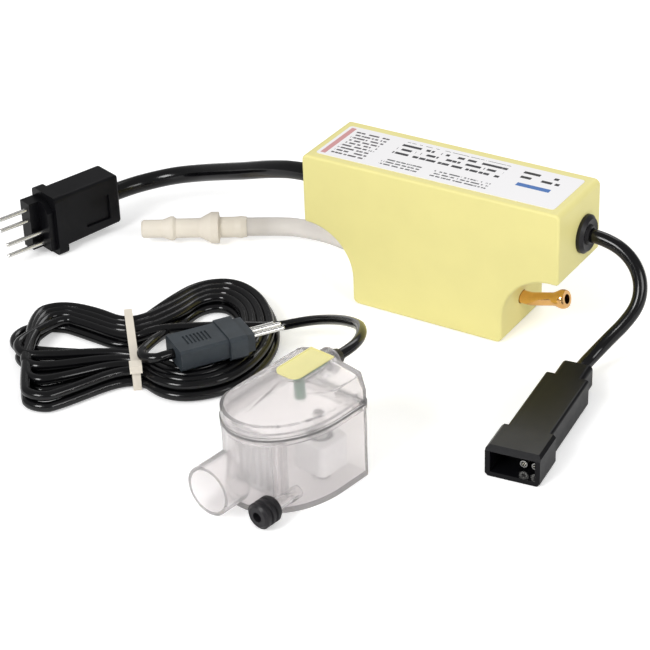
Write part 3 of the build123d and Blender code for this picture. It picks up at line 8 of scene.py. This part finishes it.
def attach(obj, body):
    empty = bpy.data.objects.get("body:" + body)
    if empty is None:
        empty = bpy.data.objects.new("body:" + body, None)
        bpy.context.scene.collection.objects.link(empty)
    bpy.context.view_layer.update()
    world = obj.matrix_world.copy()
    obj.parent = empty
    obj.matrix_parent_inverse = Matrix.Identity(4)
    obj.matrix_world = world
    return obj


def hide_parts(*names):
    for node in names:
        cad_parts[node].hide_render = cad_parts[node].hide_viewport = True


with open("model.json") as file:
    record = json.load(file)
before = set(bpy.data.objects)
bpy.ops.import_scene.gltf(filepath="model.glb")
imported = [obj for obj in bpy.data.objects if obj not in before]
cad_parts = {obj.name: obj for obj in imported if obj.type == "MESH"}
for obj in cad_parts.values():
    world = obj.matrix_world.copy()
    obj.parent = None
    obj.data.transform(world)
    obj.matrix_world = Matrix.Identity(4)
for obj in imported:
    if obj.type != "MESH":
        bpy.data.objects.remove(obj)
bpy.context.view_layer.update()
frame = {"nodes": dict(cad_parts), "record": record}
NODES = frame["nodes"]
MM = 0.001

# ---------------------------------------------------------------- camera
CAMERA_PLACE = Vector((390.0, -700.3, 463.0)) * MM
CAMERA_AZIMUTH = math.radians(32.863)
CAMERA_ELEVATION = math.radians(30.508)
CAMERA_ROLL = math.radians(-2.231)
CAMERA_LENS = 119.79
SENSOR_WIDTH = 36
NEAREST_SEEN = 0.01


def add_camera():
    """The camera at the viewing angle, with its roll."""
    azimuth, elevation = CAMERA_AZIMUTH, CAMERA_ELEVATION
    back = Vector((math.sin(azimuth) * math.cos(elevation),
                   -math.cos(azimuth) * math.cos(elevation), math.sin(elevation)))
    right = Vector((math.cos(azimuth), math.sin(azimuth), 0))
    up = back.cross(right)
    side = math.cos(CAMERA_ROLL) * right + math.sin(CAMERA_ROLL) * up
    top = math.cos(CAMERA_ROLL) * up - math.sin(CAMERA_ROLL) * right
    camera = bpy.data.objects.new("camera", bpy.data.cameras.new("camera"))
    camera.data.lens = CAMERA_LENS
    camera.data.sensor_width = SENSOR_WIDTH
    camera.data.clip_start = NEAREST_SEEN
    camera.matrix_world = Matrix.Translation(CAMERA_PLACE) @ Matrix(
        (side, top, back)).transposed().to_4x4()
    bpy.context.collection.objects.link(camera)
    bpy.context.scene.camera = camera


# ---------------------------------------------------------------- materials
def new_material(name):
    """A material, its node tree and its Principled shader."""
    material = bpy.data.materials.new(name)
    material.use_nodes = True
    shader = material.node_tree.nodes["Principled BSDF"]
    return material, material.node_tree, shader


def noise(tree, scale, detail=4, roughness=0.5):
    """A noise texture on object coordinates, in metres."""
    place = tree.nodes.new("ShaderNodeTexCoord")
    texture = tree.nodes.new("ShaderNodeTexNoise")
    texture.inputs["Scale"].default_value = scale
    texture.inputs["Detail"].default_value = detail
    texture.inputs["Roughness"].default_value = roughness
    tree.links.new(place.outputs["Object"], texture.inputs["Vector"])
    return texture.outputs["Fac"]


def ramp(tree, value, stops):
    """A colour ramp through (position, colour) stops."""
    node = tree.nodes.new("ShaderNodeValToRGB")
    elements = node.color_ramp.elements
    while len(elements) < len(stops):
        elements.new(0.5)
    for element, (position, colour) in zip(elements, stops):
        element.position = position
        element.color = (*colour, 1)
    tree.links.new(value, node.inputs["Fac"])
    return node.outputs["Color"]


def spread(colour, amount):
    """The same colour a little darker and a little lighter."""
    return [tuple(min(1, c * (1 + sign * amount)) for c in colour)
            for sign in (-1, 1)]


def bump(tree, shader, height, strength, distance):
    """Relief on the shader's surface, distance in metres."""
    node = tree.nodes.new("ShaderNodeBump")
    node.inputs["Strength"].default_value = strength
    node.inputs["Distance"].default_value = distance
    tree.links.new(height, node.inputs["Height"])
    tree.links.new(node.outputs["Normal"], shader.inputs["Normal"])


def moulded(name, colour, roughness=0.4, vary=0.05, scale=120, grain=1400, depth=0.00003,
            **inputs):
    """Moulded plastic, rubber or metal: a mottled colour, a mottled gloss and a fine grain."""
    material, tree, shader = new_material(name)
    low, high = spread(colour, vary)
    tree.links.new(ramp(tree, noise(tree, scale), [(0.35, low), (0.65, high)]),
                   shader.inputs["Base Color"])
    gloss = tree.nodes.new("ShaderNodeMapRange")
    gloss.inputs["To Min"].default_value = roughness * 0.85
    gloss.inputs["To Max"].default_value = min(1, roughness * 1.15)
    tree.links.new(noise(tree, scale * 1.7), gloss.inputs["Value"])
    tree.links.new(gloss.outputs["Result"], shader.inputs["Roughness"])
    bump(tree, shader, noise(tree, grain, 2), 0.35, depth)
    for key, value in inputs.items():
        shader.inputs[key.replace("_", " ")].default_value = value
    return material


def clear_plastic(name, colour, roughness, transmission=0.9):
    """Milky clear plastic."""
    material, tree, shader = new_material(name)
    low, high = spread(colour, 0.03)
    tree.links.new(ramp(tree, noise(tree, 45), [(0.3, low), (0.7, high)]),
                   shader.inputs["Base Color"])
    shader.inputs["Transmission Weight"].default_value = transmission
    shader.inputs["IOR"].default_value = 1.3
    shader.inputs["Roughness"].default_value = roughness
    bump(tree, shader, noise(tree, 160, 3), 0.2, 0.0002)
    return material


def math_node(tree, operation, *values):
    """A math node whose inputs are numbers or sockets."""
    node = tree.nodes.new("ShaderNodeMath")
    node.operation = operation
    for socket, value in zip(node.inputs, values):
        if isinstance(value, (int, float)):
            socket.default_value = value
        else:
            tree.links.new(value, socket)
    return node.outputs[0]


def between(tree, value, low, high):
    """One where the value lies between two numbers."""
    above = math_node(tree, "GREATER_THAN", value, low)
    return math_node(tree, "MULTIPLY", above, math_node(tree, "LESS_THAN", value, high))


# Print of the label, in millimetres.
PAPER = (0.87, 0.86, 0.87)
# areas of dashes: x from, x to, y from, y to, pitch of the rows, length of a dash, ink
DASHES = [
    (-49.0, -33.0, -11.5, 12.0, 2.6, 1.7, (0.10, 0.09, 0.10)),
    (-26.0, 24.0, -0.5, 12.0, 3.9, 3.2, (0.03, 0.03, 0.035)),
    (-26.0, -8.0, -11.5, -5.0, 2.2, 1.3, (0.12, 0.12, 0.13)),
    (-2.0, 24.0, -11.5, -5.0, 2.2, 1.3, (0.12, 0.12, 0.13)),
    (31.0, 49.0, 4.0, 12.0, 4.2, 6.0, (0.02, 0.02, 0.02)),
]
# solid areas: x from, x to, y from, y to, ink
BARS = [
    (-53.0, -50.6, -13, 13, (0.62, 0.30, 0.30)),
    (33.0, 48.0, -2.4, 0.4, (0.05, 0.16, 0.45)),
]
ROW_INKED = 0.12, 0.58          # the share of a row's pitch that its dashes take
DASH_LEVEL = 0.46               # the noise above this is ink
ROW_SHIFT = 7.3                 # so that no two rows have the same dashes


def rectangle(tree, x, y, x0, x1, y0, y1):
    """One inside a rectangle."""
    return math_node(tree, "MULTIPLY", between(tree, x, x0, x1), between(tree, y, y0, y1))


def dashes(tree, x, y, y0, pitch, dash):
    """One on the dashes of rows that start at y0."""
    line = math_node(tree, "DIVIDE", math_node(tree, "SUBTRACT", y, y0), pitch)
    in_row = between(tree, math_node(tree, "FRACT", line), *ROW_INKED)
    number = math_node(tree, "FLOOR", line)
    spot = tree.nodes.new("ShaderNodeCombineXYZ")
    tree.links.new(math_node(tree, "DIVIDE", x, dash), spot.inputs["X"])
    tree.links.new(math_node(tree, "MULTIPLY", number, ROW_SHIFT), spot.inputs["Y"])
    speckle = tree.nodes.new("ShaderNodeTexNoise")
    speckle.inputs["Scale"].default_value = 1.0
    speckle.inputs["Detail"].default_value = 3
    tree.links.new(spot.outputs[0], speckle.inputs["Vector"])
    inked = math_node(tree, "GREATER_THAN", speckle.outputs["Fac"], DASH_LEVEL)
    return math_node(tree, "MULTIPLY", in_row, inked)


def lay(tree, mask, ink, under):
    """Ink over a colour where the mask is one."""
    mix = tree.nodes.new("ShaderNodeMix")
    mix.data_type = "RGBA"
    tree.links.new(mask, mix.inputs["Factor"])
    tree.links.new(under, mix.inputs["A"])
    mix.inputs["B"].default_value = (*ink, 1)
    return mix.outputs["Result"]


def printed_film(name):
    """White film with a generic print: rows of dashes that stand for small type, and two bars."""
    material, tree, shader = new_material(name)
    place = tree.nodes.new("ShaderNodeTexCoord")
    axes = tree.nodes.new("ShaderNodeSeparateXYZ")
    tree.links.new(place.outputs["Object"], axes.inputs[0])
    x = math_node(tree, "MULTIPLY", axes.outputs["X"], 1000)
    y = math_node(tree, "MULTIPLY", axes.outputs["Y"], 1000)
    paper = tree.nodes.new("ShaderNodeRGB")
    paper.outputs[0].default_value = (*PAPER, 1)
    colour = paper.outputs[0]
    for x0, x1, y0, y1, pitch, dash, ink in DASHES:
        mask = math_node(tree, "MULTIPLY", rectangle(tree, x, y, x0, x1, y0, y1),
                         dashes(tree, x, y, y0, pitch, dash))
        colour = lay(tree, mask, ink, colour)
    for x0, x1, y0, y1, ink in BARS:
        colour = lay(tree, rectangle(tree, x, y, x0, x1, y0, y1), ink, colour)
    tree.links.new(colour, shader.inputs["Base Color"])
    shader.inputs["Roughness"].default_value = 0.42
    shader.inputs["Specular IOR Level"].default_value = 0.3
    bump(tree, shader, noise(tree, 300, 2), 0.15, 0.00003)
    return material


MATERIALS = {
    "casing_plastic": moulded("casing_plastic", (0.80, 0.73, 0.30), 0.42, 0.012, 60,
                              Specular_IOR_Level=0.3),
    "screw_zinc": moulded("screw_zinc", (0.55, 0.55, 0.53), 0.35, 0.08, 400, Metallic=1.0),
    "label_film": printed_film("label_film"),
    "black_rubber": moulded("black_rubber", (0.012, 0.011, 0.013), 0.42, 0.2, 200,
                            Specular_IOR_Level=0.35),
    "cable_jacket": moulded("cable_jacket", (0.0025, 0.0025, 0.003), 0.16, 0.2, 300,
                            depth=0.00001, Specular_IOR_Level=0.42),
    "wire_insulation": moulded("wire_insulation", (0.05, 0.09, 0.35), 0.3, 0.1, 300),
    "bobbin_plastic": moulded("bobbin_plastic", (0.70, 0.68, 0.58), 0.45),
    "winding_tape": moulded("winding_tape", (0.42, 0.19, 0.06), 0.4),
    "yoke_steel": moulded("yoke_steel", (0.48, 0.48, 0.49), 0.35, 0.06, 300, Metallic=1.0),
    "cylinder_brass": moulded("cylinder_brass", (0.86, 0.50, 0.20), 0.16, 0.05, 300,
                              depth=0.00001, Metallic=1.0),
    "spring_steel": moulded("spring_steel", (0.60, 0.60, 0.62), 0.3, 0.05, 300, Metallic=1.0),
    "valve_rubber": moulded("valve_rubber", (0.05, 0.03, 0.025), 0.6),
    "head_plastic": moulded("head_plastic", (0.03, 0.03, 0.033), 0.4),
    "board_laminate": moulded("board_laminate", (0.02, 0.16, 0.07), 0.35, 0.1, 500),
    "terminal_plastic": moulded("terminal_plastic", (0.03, 0.22, 0.09), 0.4),
    "component_plastic": moulded("component_plastic", (0.55, 0.34, 0.04), 0.35),
    "relay_plastic": moulded("relay_plastic", (0.02, 0.02, 0.022), 0.4),
    "varistor_coating": moulded("varistor_coating", (0.03, 0.09, 0.28), 0.35),
    "clear_tube": clear_plastic("clear_tube", (0.86, 0.82, 0.78), 0.25, 0.35),
    "cream_plastic": moulded("cream_plastic", (0.76, 0.70, 0.60), 0.4, 0.02, 100),
    "connector_black": moulded("connector_black", (0.004, 0.004, 0.005), 0.30, 0.15, 150,
                               Specular_IOR_Level=0.16),
    "connector_grey": moulded("connector_grey", (0.034, 0.042, 0.050), 0.38, 0.12, 150,
                              Specular_IOR_Level=0.35),
    "contact_metal": moulded("contact_metal", (0.88, 0.87, 0.84), 0.2, 0.03, 60,
                             depth=0.000001, Metallic=1.0),
    "clear_housing": clear_plastic("clear_housing", (0.97, 0.945, 0.945), 0.20, 0.84),
    "strip_yellow": moulded("strip_yellow", (0.80, 0.74, 0.33), 0.45, 0.03, 90),
    "float_foam": moulded("float_foam", (0.92, 0.92, 0.92), 0.7, 0.03, 600),
    "magnet_ferrite": moulded("magnet_ferrite", (0.03, 0.03, 0.03), 0.5),
    "filter_plastic": clear_plastic("filter_plastic", (0.90, 0.90, 0.90), 0.4, 0.6),
}

for part in frame["record"]["subparts"]:
    mesh = NODES[part["node"]].data
    mesh.materials.clear()
    mesh.materials.append(MATERIALS[part["material_slot"]])


# ---------------------------------------------------------------- cords
def placed(place, heading, point):
    """A point of a piece that is turned in plan, in the frame that all pieces share."""
    turned = Matrix.Rotation(math.radians(heading), 3, "Z") @ Vector(point)
    return tuple(Vector(place) + turned)


# Places in millimetres; a piece turned in plan also has its heading, in degrees.
BLOCK_RIGHT, FOOT_LEFT = 61.0, -35.7
LEAD_HEIGHT = 47.0
PUMP_AXIS_HEIGHT = 16.5
POWER_PLUG = (-180.4, -38.2, 0.0), 252.0
SOCKET = (85.6, -104.6, 0.0), 276.2
SUCTION_END = (-98.2, 11.6, 7.3), 210.7
UNIT = (10.0, -145.0, 0.0), -9.5
SENSOR_PLUG = (-49.9, -84.2, 8.6), 57.0

POWER_ROUTE = [
    (-52.5, 0.0, LEAD_HEIGHT),
    (-71.9, 0.0, LEAD_HEIGHT),
    (-90.5, 3.5, 41.5),
    (-108.0, 9.0, 34.0),
    (-123.8, 13.4, 28.0),
    (-139.4, 16.7, 22.2),
    (-151.3, 14.8, 19.0),
    (-160.8, 9.3, 16.6),
    placed(*POWER_PLUG, (-41.0, 0, 15.5)),
    placed(*POWER_PLUG, (-31.0, 0, 15.5)),
]
SENSOR_ROUTE = [
    (52.5, 5.0, LEAD_HEIGHT),
    (BLOCK_RIGHT + 1.5, 5.0, LEAD_HEIGHT),
    (70.8, 4.9, 46.6),
    (78.6, 4.4, 44.2),
    (84.9, 3.0, 39.4),
    (88.8, 0.4, 32.8),
    (89.6, -3.8, 25.8),
    (86.8, -9.4, 19.6),
    (82.4, -14.6, 13.8),
    (79.0, -20.2, 8.9),
    placed(*SOCKET, (-78.0, 0, 6.3)),
    placed(*SOCKET, (-71.0, 0, 6.3)),
]
SUCTION_ROUTE = [
    (-23.0, 0.0, PUMP_AXIS_HEIGHT),
    (FOOT_LEFT - 2.3, 0.0, PUMP_AXIS_HEIGHT),
    (-48.8, 2.4, 16.2),
    (-59.0, 6.6, 14.6),
    (-69.5, 11.4, 11.8),
    (-80.5, 15.2, 8.8),
    placed(*SUCTION_END, (-8.0, 0, 0)),
    placed(*SUCTION_END, (9.6, 0, 0)),
]
DETECTION_ROUTE = [
    placed(*UNIT, (1.0, 33.0, 39.4)),
    placed(*UNIT, (1.0, 39.5, 39.4)),
    (16.6, -98.8, 38.8),
    (13.6, -91.8, 37.4),
    (9.4, -85.4, 35.0),
    (4.6, -79.4, 32.0),
    (-3.0, -73.4, 28.2),
    (-11.2, -67.8, 23.8),
    (-19.8, -62.8, 19.0),
    (-28.8, -58.8, 14.2),
    (-38.0, -57.4, 9.8),
    (-46.8, -59.8, 6.4),
    (-54.0, -65.0, 4.4),
]
PLUG_LEAD_ROUTE = [
    (-84.0, -86.5, 7.4),
    (-81.6, -97.5, 10.9),
    (-80.3, -106.5, 11.8),
    (-79.0, -112.3, 12.2),
    (-74.5, -115.4, 12.8),
    (-69.3, -114.1, 13.5),
    placed(*SENSOR_PLUG, (-32.9, 0, 5.2)),
    placed(*SENSOR_PLUG, (-28.5, 0, 5.2)),
]


def cord_curve(name, points, diameter, material):
    """A smooth round cord through given points, in millimetres."""
    curve = bpy.data.curves.new(name, "CURVE")
    curve.dimensions = "3D"
    curve.bevel_depth = 1
    curve.bevel_resolution = 5
    curve.resolution_u = 8
    spline = curve.splines.new("NURBS")
    spline.points.add(len(points) - 1)
    for point, place in zip(spline.points, points):
        point.co = (*(Vector(place) * MM), 1)
        point.radius = diameter / 2 * MM
    spline.order_u = 3
    spline.use_endpoint_u = True
    curve.materials.append(material)
    cord = bpy.data.objects.new(name, curve)
    bpy.context.collection.objects.link(cord)
    return cord


def route_length(cord):
    """The length of the cord's smooth line, in metres."""
    depth = cord.data.bevel_depth
    cord.data.bevel_depth = 0
    line = bpy.data.meshes.new_from_object(cord)
    cord.data.bevel_depth = depth
    spots = [v.co.copy() for v in line.vertices]
    bpy.data.meshes.remove(line)
    return sum((b - a).length for a, b in zip(spots, spots[1:]))


def free_cord(name, points, diameter, slot, replaced, **facts):
    """A cord in the place of the nodes replaced; the facts passed with it are not used."""
    cord = cord_curve(name, points, diameter, MATERIALS[slot])
    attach(cord, "pump_set")
    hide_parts(*replaced)
    route_length(cord)
    return cord


# The hank: each turn runs left through the tie near its top, round the left lobe, back through
# the tie near its bottom, and round the right lobe. Lengths are in millimetres.
TIE = (-91.5, -101.5, 0.0), -50.0
TIE_TOP, TIE_BOTTOM = -20.0, 16.0
UPPER, LOWER = 5.9, 2.2
TURNS = [3.5, 2.5, 1.5, 0.5, 0.0, 1.0, 2.0, 3.0, 4.0]     # how far in, in strand widths
LEVELS = [UPPER, UPPER, UPPER, UPPER, LOWER, LOWER, LOWER, LOWER, LOWER]
STRAND = 4.3
BOTTOM_PITCH = 3.6              # from strand to strand at the bottom of the tie
FOLD_RADIUS = 9.6
FOLD_STEP = math.radians(40)    # the widest turn from one of a fold's points to the next
FOLD_RISE = 0.6                 # of an upper turn's fold over the turn below it
UPPER_SHIFT = 0.4               # how much further out an upper turn folds, in strand widths
LEFT_SHARE = 0.85               # of a turn's step in, at the top of the left lobe
INNER_TURN = 3.2                # turns further in than this leave out a point of the left lobe
LEFT_CENTRE, RIGHT_CENTRE = (-120.0, -108.0), (-66.0, -88.0)
LEFT_TOP = [(-124.0, -83.5), (-141.0, -87.5), (-147.0, -100.0)]
LEFT_ENDS = [(-106.0, -152.0), (-115.5, -141.0), (-124.5, -131.0), (-133.0, -124.0),
             (-143.5, -113.0)]
RIGHT = [(-59.0, -122.5), (-42.0, -108.0), (-38.5, -88.0), (-43.0, -68.0),
         (-55.0, -51.0), (-70.0, -38.5), (-86.0, -34.5), (-98.0, -44.0), (-101.5, -62.0)]
HANK_ENTRY = [(-60.0, -70.5, 8.6), (-74.0, -81.0, 9.6), (-88.0, -90.5, 9.4)]


def tie_point(across, z):
    """A point inside the tie."""
    return placed(*TIE, (across, 0, z))


def towards(point, centre, step):
    """A plan point moved by a step towards a centre."""
    way = Vector(centre) - Vector(point)
    moved = Vector(point) + way.normalized() * step
    return moved.x, moved.y


def left_end(inset):
    """The tip of a turn's fold in the left lobe."""
    whole = min(int(inset), len(LEFT_ENDS) - 2)
    return Vector(LEFT_ENDS[whole]).lerp(Vector(LEFT_ENDS[whole + 1]), inset - whole)


def fold(tip, before, after, z):
    """Points round the fold at the tip of a turn, on the way from one point to another."""
    outward = (Vector(tip) - Vector(TIE[0][:2])).normalized()
    centre = Vector(tip) - outward * FOLD_RADIUS
    arriving, leaving = centre - Vector(before), Vector(after) - centre
    start = math.atan2(arriving.y, arriving.x) - math.asin(FOLD_RADIUS / arriving.length)
    end = math.atan2(leaving.y, leaving.x) + math.asin(FOLD_RADIUS / leaving.length)
    sweep = (end - start) % (2 * math.pi)
    steps = math.ceil(sweep / FOLD_STEP)
    reach = FOLD_RADIUS / math.cos(sweep / steps / 2)
    angles = [start - math.pi / 2 + sweep * (k + 0.5) / steps for k in range(steps)]
    return [(centre.x + reach * math.cos(a), centre.y + reach * math.sin(a), z) for a in angles]


def hank_turn(inset, z):
    """The points of one turn, from the top of the tie on."""
    step = inset * STRAND
    upper = z == UPPER
    tip = left_end(max(inset - UPPER_SHIFT, 0) if upper else inset)
    top = tie_point(TIE_TOP + step, z)
    bottom = tie_point(TIE_BOTTOM - inset * BOTTOM_PITCH, z)
    left_top = LEFT_TOP if inset < INNER_TURN else LEFT_TOP[:-1]
    left_top = [towards(p, LEFT_CENTRE, step * LEFT_SHARE) for p in left_top]
    points = [top] + [(*p, z) for p in left_top]
    points += fold(tip, left_top[-1], bottom[:2], z + FOLD_RISE if upper else z)
    points += [bottom]
    points += [(*towards(p, RIGHT_CENTRE, step), z) for p in RIGHT]
    return points


def unit_cord_route():
    """The detection unit's lead from its boot, through the hank, to its plug."""
    turns = [point for inset, z in zip(TURNS, LEVELS) for point in hank_turn(inset, z)]
    return DETECTION_ROUTE[:-1] + HANK_ENTRY + turns + PLUG_LEAD_ROUTE


add_camera()
free_cord("power_cable", POWER_ROUTE, 8.0, "cable_jacket", ["power_lead"], far_end="plug",
          with_pieces=[NODES["power_plug"], NODES["power_plug_pins"]])
free_cord("sensor_cable", SENSOR_ROUTE, 5.8, "cable_jacket", ["sensor_lead"],
          far_end="connector", stiffness="limp",
          with_pieces=[NODES["sensor_socket"], NODES["socket_contacts"]])
free_cord("suction_hose", SUCTION_ROUTE, 8.5, "clear_tube", ["suction_tube"],
          far_end="fitting", with_pieces=[NODES["tube_connector"]])
free_cord("unit_cable", unit_cord_route(), 4.2, "cable_jacket",
          ["detection_lead", "cable_hank", "plug_lead"], far_end="plug", stiffness="limp",
          lay="coiled",
          with_pieces=[NODES["cable_tie"], NODES["sensor_plug"], NODES["sensor_plug_pins"]])


# ---------------------------------------------------------------- floor, light and view
FLOOR_SIZE = 8
FLOOR_DROP = 0.0002             # below the part's lowest point, in metres
FLOOR_GLOW = 0.35               # to the camera and through the clear pieces, not in mirrors
WORLD_STRENGTH = 0.55           # as light
WORLD_SEEN = 1.0                # to the camera and through the clear pieces
WORLD_MIRRORED_LESS = 0.25      # what glossy surfaces see of it is weaker by this much
LIGHT_TARGET = (0, -0.05, 0.02)
# name, place and size in metres, power in watts
LIGHTS = [
    ("key", (-0.3, -1.4, 1.0), (0.6, 0.6), 15),
    ("fill", (1.3, -0.4, 0.7), (0.8, 0.5), 7),
    ("rim", (-0.3, 1.1, 1.0), (0.9, 0.4), 3.5),
]


def seen_straight(tree, rays):
    """One for what the camera sees, also through the clear pieces."""
    return math_node(tree, "MAXIMUM", rays.outputs["Is Camera Ray"],
                     rays.outputs["Is Transmission Ray"])


def add_floor():
    """A plain pale floor."""
    bpy.ops.mesh.primitive_plane_add(size=FLOOR_SIZE, location=(0, 0, -FLOOR_DROP))
    floor = bpy.context.object
    floor.name = "floor"
    material, tree, shader = new_material("floor_paper")
    shader.inputs["Base Color"].default_value = (0.90, 0.90, 0.90, 1)
    shader.inputs["Roughness"].default_value = 0.9
    shader.inputs["Specular IOR Level"].default_value = 0.1
    rays = tree.nodes.new("ShaderNodeLightPath")
    glow = math_node(tree, "MULTIPLY", seen_straight(tree, rays), FLOOR_GLOW)
    shader.inputs["Emission Color"].default_value = (1, 1, 1, 1)
    tree.links.new(glow, shader.inputs["Emission Strength"])
    floor.data.materials.append(material)


def add_light(name, place, size, power):
    """A soft rectangular light that faces the part."""
    lamp = bpy.data.lights.new(name, "AREA")
    lamp.shape = "RECTANGLE"
    lamp.size, lamp.size_y = size
    lamp.energy = power
    light = bpy.data.objects.new(name, lamp)
    aim = Vector(LIGHT_TARGET) - Vector(place)
    light.rotation_euler = aim.to_track_quat("-Z", "Y").to_euler()
    light.location = place
    bpy.context.collection.objects.link(light)


def add_world():
    """White surroundings, dimmer as light and in mirrors than they look."""
    world = bpy.data.worlds.new("studio")
    world.use_nodes = True
    tree = world.node_tree
    background = tree.nodes["Background"]
    background.inputs["Color"].default_value = (1, 1, 1, 1)
    rays = tree.nodes.new("ShaderNodeLightPath")
    strength = tree.nodes.new("ShaderNodeMapRange")
    strength.inputs["To Min"].default_value = WORLD_STRENGTH
    strength.inputs["To Max"].default_value = WORLD_SEEN
    tree.links.new(seen_straight(tree, rays), strength.inputs["Value"])
    mirrored = math_node(tree, "MULTIPLY", rays.outputs["Is Glossy Ray"],
                         WORLD_MIRRORED_LESS)
    level = math_node(tree, "SUBTRACT", strength.outputs["Result"], mirrored)
    tree.links.new(level, background.inputs["Strength"])
    bpy.context.scene.world = world


add_floor()
for light in LIGHTS:
    add_light(*light)
add_world()
bpy.context.scene.view_settings.view_transform = "Standard"

bpy.context.view_layer.update()
